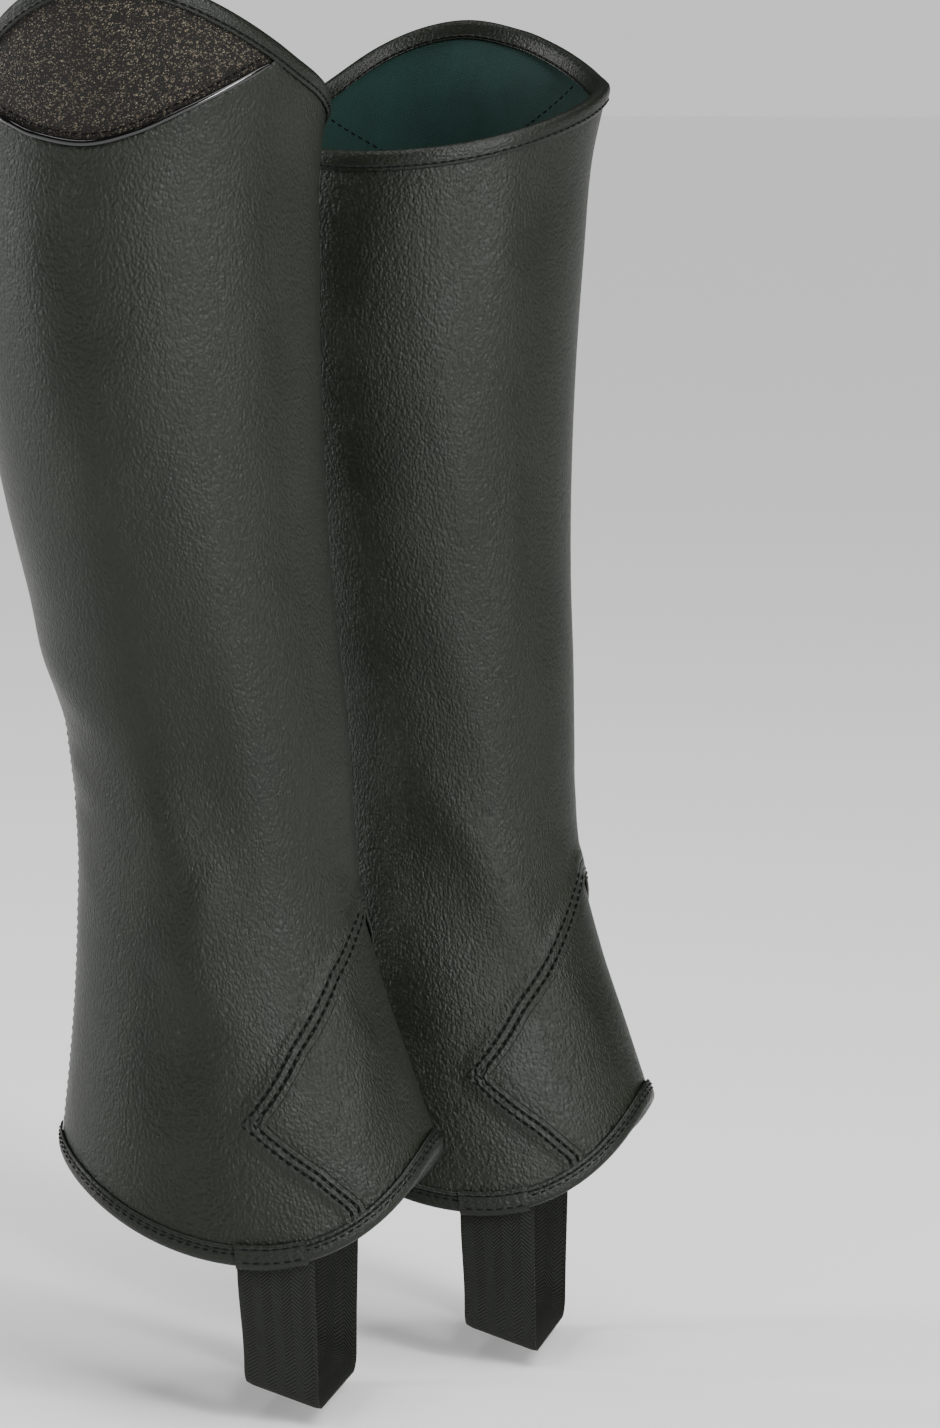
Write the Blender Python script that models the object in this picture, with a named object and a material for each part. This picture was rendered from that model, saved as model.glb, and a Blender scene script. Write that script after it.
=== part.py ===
"""A pair of half chaps, worn form and no wearer: two zipped leather tubes over calf and ankle.

Each chap is drawn as a flat pattern (an angle round the leg and a height over the hem) that is laid on the
form of a general leg. Its pieces are the cells of one pattern grid, so neighbours meet along shared seams.
All tables are in millimetres and degrees. World: metres, +Z up, the wearer faces -Y, the right leg at -X.
"""

import math
from collections import namedtuple

import bmesh
import bpy
from mathutils import Vector

MM = 0.001

# Where the wearer's calves hold the pair: this height over the hem is the origin.
HOLD_HEIGHT = 250.0

# Layers, measured outwards from the inner face of the leather.
LEATHER = 1.4
LAYER_GAP = 0.3
LINING = 1.0
BINDING = 0.8
SEAM_INSET = 0.22

# Edges and trim.
BINDING_WIDTH = 7.0
EDGE_COVER = 1.2
FOLD_ROUNDING = 1.3
FOLD_INSIDE_ROUNDING = 1.25
FOLD_TOE = 0.2
FOLD_INSIDE_TOE = 0.95
FOLD_INSIDE_STEP = 0.6
PATCH_LAP = 0.8
PATCH_THICKNESS = 0.7
PATCH_DROP = 0.2
PATCH_ROUNDING = 0.4
PATCH_TOE = 0.5
PIPING_RADIUS = 1.2
PIPING_ENDS = (39.0, 146.0)
PIPING_SIDES = 6

# Foot strap: elastic, 25 wide, from the hem down and under the foot.
STRAP_REAR = 14.5
STRAP_FRONT = 39.5
STRAP_THICKNESS = 1.5
STRAP_COLUMNS = 2
STRAP_TUCK = 14.0
STRAP_SOLE_HALF = 34.0
STRAP_CORNER = 7.0
STRAP_DROP_REAR = 45.2
STRAP_DROP_FRONT = 53.5
STRAP_ANGLES = (69.5, 89.0)

# Zip down the back, from the hem to just under the snap tab.
ZIP_HALF_GAP = 5.0
ZIP_CHAIN_SHARE = 0.62
ZIP_CHAIN_THICKNESS = 1.7
ZIP_TOP = 329.0
SLIDER_LENGTH = 13.0
SLIDER_WIDTH = 8.4
SLIDER_PLATE = 1.8
BRIDGE_WIDTH = 2.6
BRIDGE_BAR = 1.2
BRIDGE_REACH = 4.2
BRIDGE_ROOM = 2.8
BRIDGE_SINK = 0.6
BRIDGE_CHAMFER = 0.8
PULL_THICKNESS = 1.4
PULL_WINDOW_HALF = 1.9
PULL_SIDE_LEAST = 1.0

# The pull's outline: half its width at each height from the hinge axis. Its window is between the second row
# and the third.
PullRow = namedtuple("PullRow", "up half_width")
PULL_ROWS = (
    PullRow(0.8, 3.2),
    PullRow(-0.8, 3.2),
    PullRow(-6.2, 3.2),
    PullRow(-7.8, 2.9),
    PullRow(-11.2, 3.5),
    PullRow(-24.0, 4.2),
    PullRow(-26.1, 3.7),
    PullRow(-27.0, 2.4),
)

# Snap tab across the top of the zip, and its stud.
TAB_END = 134.0
TAB_ROOT = 196.0
TAB_HEIGHT = 26.0
TAB_THICKNESS = 2.0
TAB_CORNER = 7.0
TAB_END_MIDDLE = 360.5
TAB_ROOT_MIDDLE = 352.5
STUD_ANGLE = 147.0
STUD_RADIUS = 6.5
STUD_HEIGHT = 1.9
STUD_RIM = 0.7
STUD_STEPS = 16

# Hem: it dips at each side, where the foot strap hangs, and rises over instep and heel.
HEM_LOW = -1.5
HEM_RISE = 33.0
HEM_DIP_ANGLE = 82.0

# How far the section is narrower in front than behind, as a share of its half width.
SHIN_TAPER = 0.10

Section = namedtuple("Section", "height front back half_width")
SECTIONS = (
    Section(-10.0, 86.5, 57.0, 46.5),
    Section(15.0, 79.5, 54.5, 45.5),
    Section(38.0, 71.5, 52.0, 44.0),
    Section(60.0, 64.0, 49.5, 42.0),
    Section(85.0, 55.5, 47.3, 39.5),
    Section(112.0, 48.5, 46.0, 37.8),
    Section(135.0, 45.5, 45.5, 37.2),
    Section(160.0, 44.5, 47.2, 38.0),
    Section(185.0, 43.2, 51.5, 40.5),
    Section(215.0, 41.0, 57.5, 44.5),
    Section(250.0, 39.7, 64.5, 49.0),
    Section(290.0, 39.6, 70.5, 53.0),
    Section(330.0, 40.8, 73.5, 55.0),
    Section(360.0, 42.2, 73.6, 55.8),
    Section(386.0, 46.6, 73.2, 56.8),
    Section(420.0, 51.0, 73.5, 58.5),
)

# Top edge of the binding: a high arch on the outer side (angles over 0), low on the inner side.
EdgePoint = namedtuple("EdgePoint", "angle height")
TOP_LINE = (
    EdgePoint(-180.0, 378.0),
    EdgePoint(-150.0, 372.0),
    EdgePoint(-125.0, 366.2),
    EdgePoint(-97.0, 364.5),
    EdgePoint(-66.0, 367.5),
    EdgePoint(-30.0, 377.0),
    EdgePoint(0.0, 386.0),
    EdgePoint(23.0, 392.0),
    EdgePoint(35.0, 396.9),
    EdgePoint(57.0, 407.2),
    EdgePoint(70.0, 412.5),
    EdgePoint(88.0, 416.6),
    EdgePoint(103.0, 414.5),
    EdgePoint(119.0, 407.0),
    EdgePoint(138.5, 392.7),
    EdgePoint(150.0, 385.5),
    EdgePoint(165.0, 380.0),
    EdgePoint(180.0, 378.0),
)

# Lower edge of the lens insert, on the outer side.
LENS_LINE = (
    EdgePoint(30.0, 393.5),
    EdgePoint(36.0, 390.5),
    EdgePoint(53.0, 380.2),
    EdgePoint(65.0, 373.0),
    EdgePoint(80.0, 365.0),
    EdgePoint(95.0, 361.3),
    EdgePoint(112.0, 364.7),
    EdgePoint(121.0, 368.8),
    EdgePoint(132.0, 373.4),
    EdgePoint(139.0, 376.3),
    EdgePoint(155.0, 380.0),
)
LENS_REST_BAND = 5.0

# Side seam of the front ankle panel: half its width, as an angle, at each height up to its apex.
# Its first height is just over the hem binding, and under that the seam runs straight down.
SeamPoint = namedtuple("SeamPoint", "height angle")
PANEL_SEAM = (
    SeamPoint(19.0, 49.5),
    SeamPoint(31.0, 60.0),
    SeamPoint(46.0, 75.5),
    SeamPoint(68.0, 57.0),
    SeamPoint(88.0, 36.0),
    SeamPoint(101.0, 18.0),
    SeamPoint(111.0, 2.0),
)

# Pattern rows over the panel's apex: share of the way from hem to lens line, and the front block's half angle.
PatternRow = namedtuple("PatternRow", "share angle")
UPPER_ROWS = (
    PatternRow(0.345, 14.0),
    PatternRow(0.395, 24.0),
    PatternRow(0.445, 31.0),
    PatternRow(0.500, 35.0),
    PatternRow(0.565, 36.0),
    PatternRow(0.645, 36.0),
    PatternRow(0.740, 36.0),
    PatternRow(0.865, 36.0),
    PatternRow(1.000, 36.0),
)
LENS_ROWS = 2
SIDE_COLUMNS = 13
FRONT_COLUMNS = 6
ZIP_COLUMNS = 2
LENS_COLUMNS = 11
COLUMNS = 2 * SIDE_COLUMNS + FRONT_COLUMNS + ZIP_COLUMNS
FRONT_START = SIDE_COLUMNS
OUTER_START = SIDE_COLUMNS + FRONT_COLUMNS
ZIP_START = COLUMNS - ZIP_COLUMNS
MIRROR_COLUMN = SIDE_COLUMNS + FRONT_COLUMNS // 2

# Creases that the worn leather keeps: a ridge has a depth over 0, a trough one under 0.
Crease = namedtuple("Crease", "leg angle height slant length width depth")
CREASES = (
    Crease("right", 95.0, 125.0, 12.0, 42.0, 13.0, 1.7),
    Crease("right", 62.0, 175.0, -8.0, 60.0, 14.0, 1.3),
    Crease("right", 82.0, 160.0, 6.0, 45.0, 12.0, -1.6),
    Crease("right", 158.0, 172.0, 62.0, 26.0, 11.0, -1.5),
    Crease("right", 150.0, 196.0, 66.0, 26.0, 11.0, 1.2),
    Crease("left", -62.0, 150.0, -14.0, 52.0, 14.0, 1.6),
    Crease("left", -92.0, 120.0, -20.0, 50.0, 13.0, -1.6),
    Crease("left", -50.0, 300.0, 4.0, 70.0, 16.0, 1.1),
    Crease("left", 158.0, 172.0, 62.0, 26.0, 11.0, -1.5),
    Crease("left", -152.0, 190.0, 60.0, 26.0, 11.0, 1.3),
)

# The two legs: the left one stands a little ahead, and both lean out from the ankle up.
Leg = namedtuple("Leg", "name side across ahead lean_out lean_ahead lift")
LEGS = (
    Leg("right", -1.0, 51.0, -28.5, 0.031, -0.035, 7.0),
    Leg("left", 1.0, 51.0, 28.5, 0.031, 0.035, -7.0),
)
LEAN_START = 120.0
LEAN_FULL = 180.0

Finish = namedtuple("Finish", "colour metallic roughness")
FINISHES = {
    "leather": Finish((0.016, 0.020, 0.016), 0.0, 0.42),
    "insert": Finish((0.036, 0.031, 0.026), 0.0, 0.85),
    "patent": Finish((0.008, 0.008, 0.008), 0.0, 0.12),
    "binding": Finish((0.010, 0.012, 0.010), 0.0, 0.45),
    "lining": Finish((0.013, 0.036, 0.034), 0.0, 0.90),
    "elastic": Finish((0.012, 0.012, 0.010), 0.0, 0.95),
    "tape": Finish((0.010, 0.010, 0.010), 0.0, 0.90),
    "metal": Finish((0.080, 0.082, 0.085), 1.0, 0.35),
}


def along(rows, where):
    """Smooth value of the second column of a table at a place in its first column."""
    last = len(rows) - 2
    start = max(0, min(last, sum(row[0] <= where for row in rows) - 1))
    before = rows[max(start - 1, 0)]
    low, high = rows[start], rows[start + 1]
    after = rows[min(start + 2, last + 1)]
    span = high[0] - low[0]
    share = min(max((where - low[0]) / span, 0.0), 1.0)
    slope_low = (high[1] - before[1]) / (high[0] - before[0]) * span
    slope_high = (after[1] - low[1]) / (after[0] - low[0]) * span
    square, cube = share**2, share**3
    return (
        (2 * cube - 3 * square + 1) * low[1]
        + (cube - 2 * square + share) * slope_low
        + (3 * square - 2 * cube) * high[1]
        + (cube - square) * slope_high
    )


def section_size(column, height):
    """One column of the section table at a height."""
    return along([(row.height, getattr(row, column)) for row in SECTIONS], height)


def around(angle):
    """The angle brought into -180 to 180."""
    return (angle + 180.0) % 360.0 - 180.0


def lean(height):
    """How much of a leg's lean a height has taken on: none at the ankle, all of it over it."""
    if height <= LEAN_START:
        return 0.0
    if height >= LEAN_FULL:
        return height - (LEAN_START + LEAN_FULL) / 2
    return (height - LEAN_START) ** 2 / (2 * (LEAN_FULL - LEAN_START))


def crease_depth(leg, angle, height):
    """How far the creases move the cloth out at a place."""
    total = 0.0
    for crease in CREASES:
        if crease.leg != leg.name:
            continue
        across = around(angle - crease.angle) * math.radians(section_size("half_width", height))
        up = height - crease.height
        slant = math.radians(crease.slant)
        side = across * math.cos(slant) - up * math.sin(slant)
        run = across * math.sin(slant) + up * math.cos(slant)
        total += crease.depth * math.exp(-((side / crease.width) ** 2) - (run / crease.length) ** 2)
    return total


def leg_point(leg, angle, height, offset=0.0):
    """World point of the cloth at a pattern place, moved out by an offset."""
    turn = math.radians(angle)
    front, back = section_size("front", height), section_size("back", height)
    half_width = section_size("half_width", height)
    half_depth, middle = (front + back) / 2, (front - back) / 2
    out = half_width * (math.sin(turn) - SHIN_TAPER / 2 * math.sin(2 * turn))
    ahead = middle + half_depth * math.cos(turn)
    normal = Vector(
        (
            half_depth * math.sin(turn),
            half_width * (math.cos(turn) - SHIN_TAPER * math.cos(2 * turn)),
        )
    ).normalized()
    offset += crease_depth(leg, angle, height)
    return place(leg, out + normal.x * offset, ahead + normal.y * offset, height)


def place(leg, out, ahead, height):
    """World point at distances out from, ahead of and over the middle of a leg's hem."""
    across = leg.across + out + leg.lean_out * height
    forward = leg.ahead + ahead + leg.lean_ahead * lean(height)
    return Vector((leg.side * across, -forward, height - HOLD_HEIGHT)) * MM


def hem_line(angle):
    """Height of the binding's lower edge."""
    turn = abs(around(angle))
    if turn < HEM_DIP_ANGLE:
        share = turn / HEM_DIP_ANGLE
    else:
        share = (180.0 - turn) / (180.0 - HEM_DIP_ANGLE)
    return HEM_LOW + HEM_RISE * math.cos(math.pi / 2 * share) ** 2


def outer_side(angle):
    """1 at the outer side, falling to 0 at front and back and all along the inner side."""
    return max(math.sin(math.radians(around(angle))), 0.0)


def top_line(leg, angle):
    """Height of the binding's upper edge."""
    return along(TOP_LINE, around(angle)) + leg.lift * outer_side(angle)


def lens_line(leg, angle):
    """Height of the seam under the lens insert, and of a plain pattern row elsewhere."""
    rest = top_line(leg, angle) - EDGE_COVER - LENS_REST_BAND
    if not LENS_LINE[0].angle < around(angle) < LENS_LINE[-1].angle:
        return rest
    seam = along(LENS_LINE, around(angle)) + leg.lift * outer_side(angle)
    return min(seam, top_line(leg, angle) - EDGE_COVER - LENS_REST_BAND / 2)


def share_height(leg, angle, share):
    """Height at a share of the way from the leather's hem to the lens line."""
    low = hem_line(angle) + EDGE_COVER
    return low + (lens_line(leg, angle) - low) * share


def pattern_rows(leg):
    """Every pattern row as a share of the way to the lens line, with the front block's half angle."""
    rows = [PatternRow(0.0, PANEL_SEAM[0].angle)]
    for seam in PANEL_SEAM:
        low = hem_line(seam.angle) + EDGE_COVER
        rows.append(PatternRow((seam.height - low) / (lens_line(leg, seam.angle) - low), seam.angle))
    return rows + list(UPPER_ROWS)


class Pattern:
    """The pattern grid of one chap: rows from hem to top, columns from the zip round by the front and back."""

    def __init__(self, leg):
        self.leg = leg
        self.rows = pattern_rows(leg)
        self.apex_row = len(PANEL_SEAM)
        self.lens_row = len(self.rows) - 1
        self.top_row = self.lens_row + LENS_ROWS

    def column_angle(self, row, column):
        """Angle of a column at a row. Columns past the last one go on round the leg."""
        if column >= COLUMNS:
            return self.column_angle(row, column - COLUMNS) + 360.0
        share, front = self.rows[min(row, self.lens_row)]
        half_width = section_size("half_width", share_height(self.leg, 180.0, share))
        gap = math.degrees(ZIP_HALF_GAP / (half_width * (1 + SHIN_TAPER)))
        if column <= FRONT_START:
            return -(180.0 - gap) + (180.0 - gap - front) * column / SIDE_COLUMNS
        if column <= OUTER_START:
            return -front + 2 * front * (column - FRONT_START) / FRONT_COLUMNS
        if column <= ZIP_START:
            return front + (180.0 - gap - front) * (column - OUTER_START) / SIDE_COLUMNS
        return 180.0 - gap + 2 * gap * (column - ZIP_START) / ZIP_COLUMNS

    def corner(self, row, column):
        """(angle, height) of a grid corner."""
        angle = self.column_angle(row, column)
        if row <= self.lens_row:
            return angle, share_height(self.leg, angle, self.rows[row].share)
        low = lens_line(self.leg, angle)
        high = top_line(self.leg, angle) - EDGE_COVER
        return angle, low + (high - low) * (row - self.lens_row) / LENS_ROWS

    def angles_between(self, row, start, end):
        """The start, every column angle between, and the end."""
        angles = [self.column_angle(row, column) for column in range(COLUMNS + SIDE_COLUMNS)]
        return [start] + [angle for angle in angles if start + 1.0 < angle < end - 1.0] + [end]

    def cells(self, rows, columns):
        """The cells in a range of rows and of columns."""
        return {(row, column) for row in rows for column in columns}


def cell_corners(cell):
    """A cell's four corners, in order round it."""
    row, column = cell
    return (row, column), (row, column + 1), (row + 1, column + 1), (row + 1, column)


def cell_sides(cell):
    """A cell's four sides as (start, end) corners, with the cell on the left of each."""
    corners = cell_corners(cell)
    return [(corners[i], corners[(i + 1) % 4]) for i in range(4)]


def edge_sides(cells):
    """The sides of a piece that no other cell of it shares."""
    sides = {side for cell in cells for side in cell_sides(cell)}
    return sorted(side for side in sides if side[::-1] not in sides)


def drawn_in(pattern, cells):
    """Each corner of a piece as (angle, height), with the corners on its edge drawn in for the seam gap."""
    places = {corner: pattern.corner(*corner) for cell in cells for corner in cell_corners(cell)}
    inwards = {}
    for start, end in edge_sides(cells):
        per_degree = math.radians(section_size("half_width", places[start][1]))
        run = Vector(
            (
                (places[end][0] - places[start][0]) * per_degree,
                places[end][1] - places[start][1],
            )
        ).normalized()
        for corner in (start, end):
            inwards.setdefault(corner, []).append(Vector((-run.y, run.x)))
    for corner, normals in inwards.items():
        angle, height = places[corner]
        one, other = normals
        move = (one + other) * SEAM_INSET / max(1.0 + one.dot(other), 0.3)
        angle += move.x / math.radians(section_size("half_width", height))
        places[corner] = angle, height + move.y
    return places


def material(finish_name):
    """The material of a finish, made once."""
    if finish_name in bpy.data.materials:
        return bpy.data.materials[finish_name]
    finish = FINISHES[finish_name]
    made = bpy.data.materials.new(finish_name)
    made.use_nodes = True
    shader = made.node_tree.nodes["Principled BSDF"]
    shader.inputs["Base Color"].default_value = (*finish.colour, 1.0)
    shader.inputs["Metallic"].default_value = finish.metallic
    shader.inputs["Roughness"].default_value = finish.roughness
    return made


def add_object(name, shape, finish_name):
    """A smooth-shaded object from a finished bmesh, its faces turned outwards."""
    bmesh.ops.recalc_face_normals(shape, faces=shape.faces)
    mesh = bpy.data.meshes.new(name)
    shape.to_mesh(mesh)
    shape.free()
    mesh.shade_smooth()
    mesh.set_sharp_from_angle(angle=math.radians(40.0))
    mesh.materials.append(material(finish_name))
    made = bpy.data.objects.new(name, mesh)
    bpy.context.scene.collection.objects.link(made)
    return made


def wall(name, outer, inner, cells, finish_name, mirror_column=0):
    """A closed wall over grid cells, between two sets of points that share the grid's corners as keys.

    Cells before the mirror column are split along their other diagonal, as their mirror images are.
    """
    shape = bmesh.new()
    outside = {corner: shape.verts.new(point) for corner, point in outer.items()}
    inside = {corner: shape.verts.new(point) for corner, point in inner.items()}
    for cell in sorted(cells):
        first, second, third, fourth = cell_corners(cell)
        if cell[1] < mirror_column:
            first, second, third, fourth = second, third, fourth, first
        for skin in (outside, inside):
            shape.faces.new((skin[first], skin[second], skin[third]))
            shape.faces.new((skin[first], skin[third], skin[fourth]))
    for start, end in edge_sides(cells):
        shape.faces.new((outside[start], outside[end], inside[end], inside[start]))
    return add_object(name, shape, finish_name)


def rows_wall(name, outer_rows, inner_rows, finish_name):
    """A wall between two lists of point rows of equal length."""
    outer = {(i, j): point for i, row in enumerate(outer_rows) for j, point in enumerate(row)}
    inner = {(i, j): point for i, row in enumerate(inner_rows) for j, point in enumerate(row)}
    cells = {(i, j) for i in range(len(outer_rows) - 1) for j in range(len(outer_rows[0]) - 1)}
    return wall(name, outer, inner, cells, finish_name)


def panel(pattern, name, cells, inner, outer, finish_name):
    """A pattern piece laid on the leg as a wall from one offset to another."""
    leg = pattern.leg
    places = drawn_in(pattern, cells)
    outside = {corner: leg_point(leg, *where, outer) for corner, where in places.items()}
    inside = {corner: leg_point(leg, *where, inner) for corner, where in places.items()}
    return wall(f"{leg.name}_{name}", outside, inside, cells, finish_name, MIRROR_COLUMN)


def main_panels(pattern):
    """The wrap, the ankle panel, the lens insert, the lining and the zip's tape."""
    rows = range(pattern.top_row)
    ankle = pattern.cells(range(pattern.apex_row), range(FRONT_START, OUTER_START))
    lens = pattern.cells(
        range(pattern.lens_row, pattern.top_row),
        range(OUTER_START, OUTER_START + LENS_COLUMNS),
    )
    wrap = pattern.cells(rows, range(ZIP_START)) - ankle - lens
    panel(pattern, "body", wrap, 0.0, LEATHER, "leather")
    panel(pattern, "ankle_panel", ankle, 0.0, LEATHER - 0.4, "leather")
    panel(pattern, "lens_insert", lens, 0.0, LEATHER - 0.2, "insert")
    inner_face = -LAYER_GAP - LINING
    lining = pattern.cells(rows, range(1, ZIP_START - 1))
    panel(pattern, "lining", lining, inner_face, -LAYER_GAP, "lining")
    tape = pattern.cells(rows, range(ZIP_START - 1, COLUMNS + 1))
    panel(pattern, "zip_tape", tape, inner_face, -LAYER_GAP, "tape")


def binding_paths(width):
    """The folded binding's outer and inner paths as (offset, distance in from the edge)."""
    outside = LEATHER + LAYER_GAP
    inside = -LINING - 2 * LAYER_GAP
    outer = (
        (outside + BINDING, width),
        (outside + BINDING, FOLD_ROUNDING),
        (outside - FOLD_TOE, FOLD_TOE),
        (inside + FOLD_TOE, FOLD_TOE),
        (inside - BINDING, FOLD_ROUNDING),
        (inside - BINDING, width),
    )
    inner = (
        (outside, width),
        (outside, FOLD_INSIDE_ROUNDING),
        (outside - FOLD_INSIDE_STEP, FOLD_INSIDE_TOE),
        (inside + FOLD_INSIDE_STEP, FOLD_INSIDE_TOE),
        (inside, FOLD_INSIDE_ROUNDING),
        (inside, width),
    )
    return outer, inner


def edge_trim(leg, name, angles, line, inwards, paths, finish_name):
    """Trim folded over an edge of the chap: its paths are swept along the edge line."""
    outer, inner = (
        [
            [leg_point(leg, angle, line(angle) + inwards * reach, offset) for offset, reach in path]
            for angle in angles
        ]
        for path in paths
    )
    return rows_wall(f"{leg.name}_{name}", outer, inner, finish_name)


def bindings(pattern):
    """The bound top edge and hem, each from one side of the zip round to the other."""
    leg = pattern.leg
    paths = binding_paths(BINDING_WIDTH)
    top_angles = [pattern.column_angle(pattern.top_row, column) for column in range(ZIP_START + 1)]
    hem_angles = [pattern.column_angle(0, column) for column in range(ZIP_START + 1)]
    edge_trim(leg, "top_binding", top_angles, lambda angle: top_line(leg, angle), -1, paths, "binding")
    edge_trim(leg, "hem_binding", hem_angles, hem_line, 1, paths, "binding")


def strap_patches(pattern):
    """A short binding over each end of the foot strap, folded round the hem binding."""
    outside = LEATHER + LAYER_GAP + BINDING + LAYER_GAP
    under = -LINING - LAYER_GAP
    height = BINDING_WIDTH + PATCH_LAP
    thick = PATCH_THICKNESS
    outer = (
        (outside + thick, height),
        (outside + thick, PATCH_ROUNDING),
        (outside - PATCH_TOE, -PATCH_DROP - thick),
        (under, -PATCH_DROP - thick),
    )
    inner = (
        (outside, height),
        (outside, PATCH_ROUNDING + PATCH_TOE),
        (outside - 2 * PATCH_TOE, -PATCH_DROP),
        (under, -PATCH_DROP),
    )
    low, high = STRAP_ANGLES
    spans = {
        "outer": pattern.angles_between(0, low, high),
        "inner": pattern.angles_between(0, -high, -low),
    }
    for side, angles in spans.items():
        edge_trim(pattern.leg, f"strap_patch_{side}", angles, hem_line, 1, (outer, inner), "binding")


def piping(pattern):
    """The glossy cord sewn along the seam under the lens insert."""
    leg = pattern.leg
    centre = LEATHER + LAYER_GAP + PIPING_RADIUS
    shape = bmesh.new()
    rings = []
    for angle in pattern.angles_between(pattern.lens_row, *PIPING_ENDS):
        ring = []
        for side in range(PIPING_SIDES):
            turn = 2 * math.pi * (side + 0.5) / PIPING_SIDES
            height = lens_line(leg, angle) + PIPING_RADIUS * math.cos(turn)
            offset = centre + PIPING_RADIUS * math.sin(turn)
            ring.append(shape.verts.new(leg_point(leg, angle, height, offset)))
        rings.append(ring)
    for one, other in zip(rings, rings[1:]):
        for side in range(PIPING_SIDES):
            after = (side + 1) % PIPING_SIDES
            shape.faces.new((one[side], one[after], other[after], other[side]))
    shape.faces.new(rings[0])
    shape.faces.new(rings[-1])
    add_object(f"{leg.name}_lens_piping", shape, "patent")


def angle_at(leg, side, ahead, height, offset):
    """The angle at which the cloth, moved by an offset, lies this far ahead of the leg's middle."""
    low, high = 0.0, 180.0
    for _ in range(24):
        middle = (low + high) / 2
        point = leg_point(leg, side * middle, height, offset)
        if -point.y / MM - leg.ahead > ahead:
            low = middle
        else:
            high = middle
    return side * (low + high) / 2


def strap_half_path(leg, side, ahead, drop):
    """One side of the strap's outer face as (out, height), from its end inside the hem to under the foot."""
    offset = -LINING - LAYER_GAP - BINDING - 2 * LAYER_GAP
    hem = hem_line(angle_at(leg, side, ahead, HEM_LOW, offset))
    path = []
    for height in (hem + STRAP_TUCK, hem + STRAP_TUCK / 2, hem):
        point = leg_point(leg, angle_at(leg, side, ahead, height, offset), height, offset)
        path.append((leg.side * point.x / MM - leg.across - leg.lean_out * height, height))
    start = abs(path[-1][0])
    turn_height = STRAP_CORNER - drop
    for share in (0.25, 0.5, 0.75):
        ease = share * share * (3 - 2 * share)
        out = start + (STRAP_SOLE_HALF - start) * ease
        path.append((side * out, hem + (turn_height - hem) * share))
    for step in range(5):
        turn = math.pi / 2 * step / 4
        out = STRAP_SOLE_HALF - STRAP_CORNER * (1 - math.cos(turn))
        path.append((side * out, turn_height - STRAP_CORNER * math.sin(turn)))
    return path


def moved_in(path, distance):
    """A path in the (out, height) plane, moved towards the side that the foot is on."""
    moved = []
    for index, (out, height) in enumerate(path):
        before = Vector(path[max(index - 1, 0)])
        after = Vector(path[min(index + 1, len(path) - 1)])
        run = (after - before).normalized()
        moved.append((out + run.y * distance, height - run.x * distance))
    return moved


def foot_strap(leg):
    """The elastic: inside the hem at each side and under the foot, higher at its rear edge."""
    outer_rows, inner_rows = [], []
    for step in range(STRAP_COLUMNS + 1):
        share = step / STRAP_COLUMNS
        ahead = STRAP_REAR + (STRAP_FRONT - STRAP_REAR) * share
        drop = STRAP_DROP_REAR + (STRAP_DROP_FRONT - STRAP_DROP_REAR) * share
        path = strap_half_path(leg, -1, ahead, drop) + strap_half_path(leg, 1, ahead, drop)[::-1]
        outer_rows.append([place(leg, out, ahead, height) for out, height in path])
        inner_rows.append(
            [place(leg, out, ahead, height) for out, height in moved_in(path, -STRAP_THICKNESS)]
        )
    rows_wall(f"{leg.name}_foot_strap", outer_rows, inner_rows, "elastic")


def zip_chain(pattern):
    """The closed row of teeth between the leather's edges, from the hem to the slider."""
    leg = pattern.leg
    heights = [pattern.corner(row, ZIP_START + 1)[1] for row in range(pattern.lens_row)]
    heights = [height for height in heights if height < ZIP_TOP - 6.0] + [ZIP_TOP]
    outer, inner = [], []
    for height in heights:
        half_width = section_size("half_width", height) * (1 + SHIN_TAPER)
        half = math.degrees(ZIP_HALF_GAP / half_width) * ZIP_CHAIN_SHARE
        angles = (180.0 - half, 180.0, 180.0 + half)
        outer.append([leg_point(leg, angle, height, ZIP_CHAIN_THICKNESS) for angle in angles])
        inner.append([leg_point(leg, angle, height, 0.0) for angle in angles])
    rows_wall(f"{leg.name}_zip_chain", outer, inner, "metal")


def zip_origin(leg):
    """The pull's hinge axis: in the middle of the room under the slider's bridge."""
    back = leg_point(leg, 180.0, ZIP_TOP, ZIP_CHAIN_THICKNESS + LAYER_GAP + SLIDER_PLATE)
    return back + Vector((0.0, BRIDGE_ROOM / 2, 0.0)) * MM


def profile_solid(name, profile, half_width, finish_name):
    """A profile in the (back, up) plane, as wide as given."""
    shape = bmesh.new()
    verts = [shape.verts.new(Vector((-half_width, back, up)) * MM) for back, up in profile]
    face = shape.faces.new(verts)
    made = bmesh.ops.extrude_face_region(shape, geom=[face])
    moved = [item for item in made["geom"] if isinstance(item, bmesh.types.BMVert)]
    bmesh.ops.translate(shape, verts=moved, vec=Vector((2 * half_width, 0.0, 0.0)) * MM)
    return add_object(name, shape, finish_name)


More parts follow.
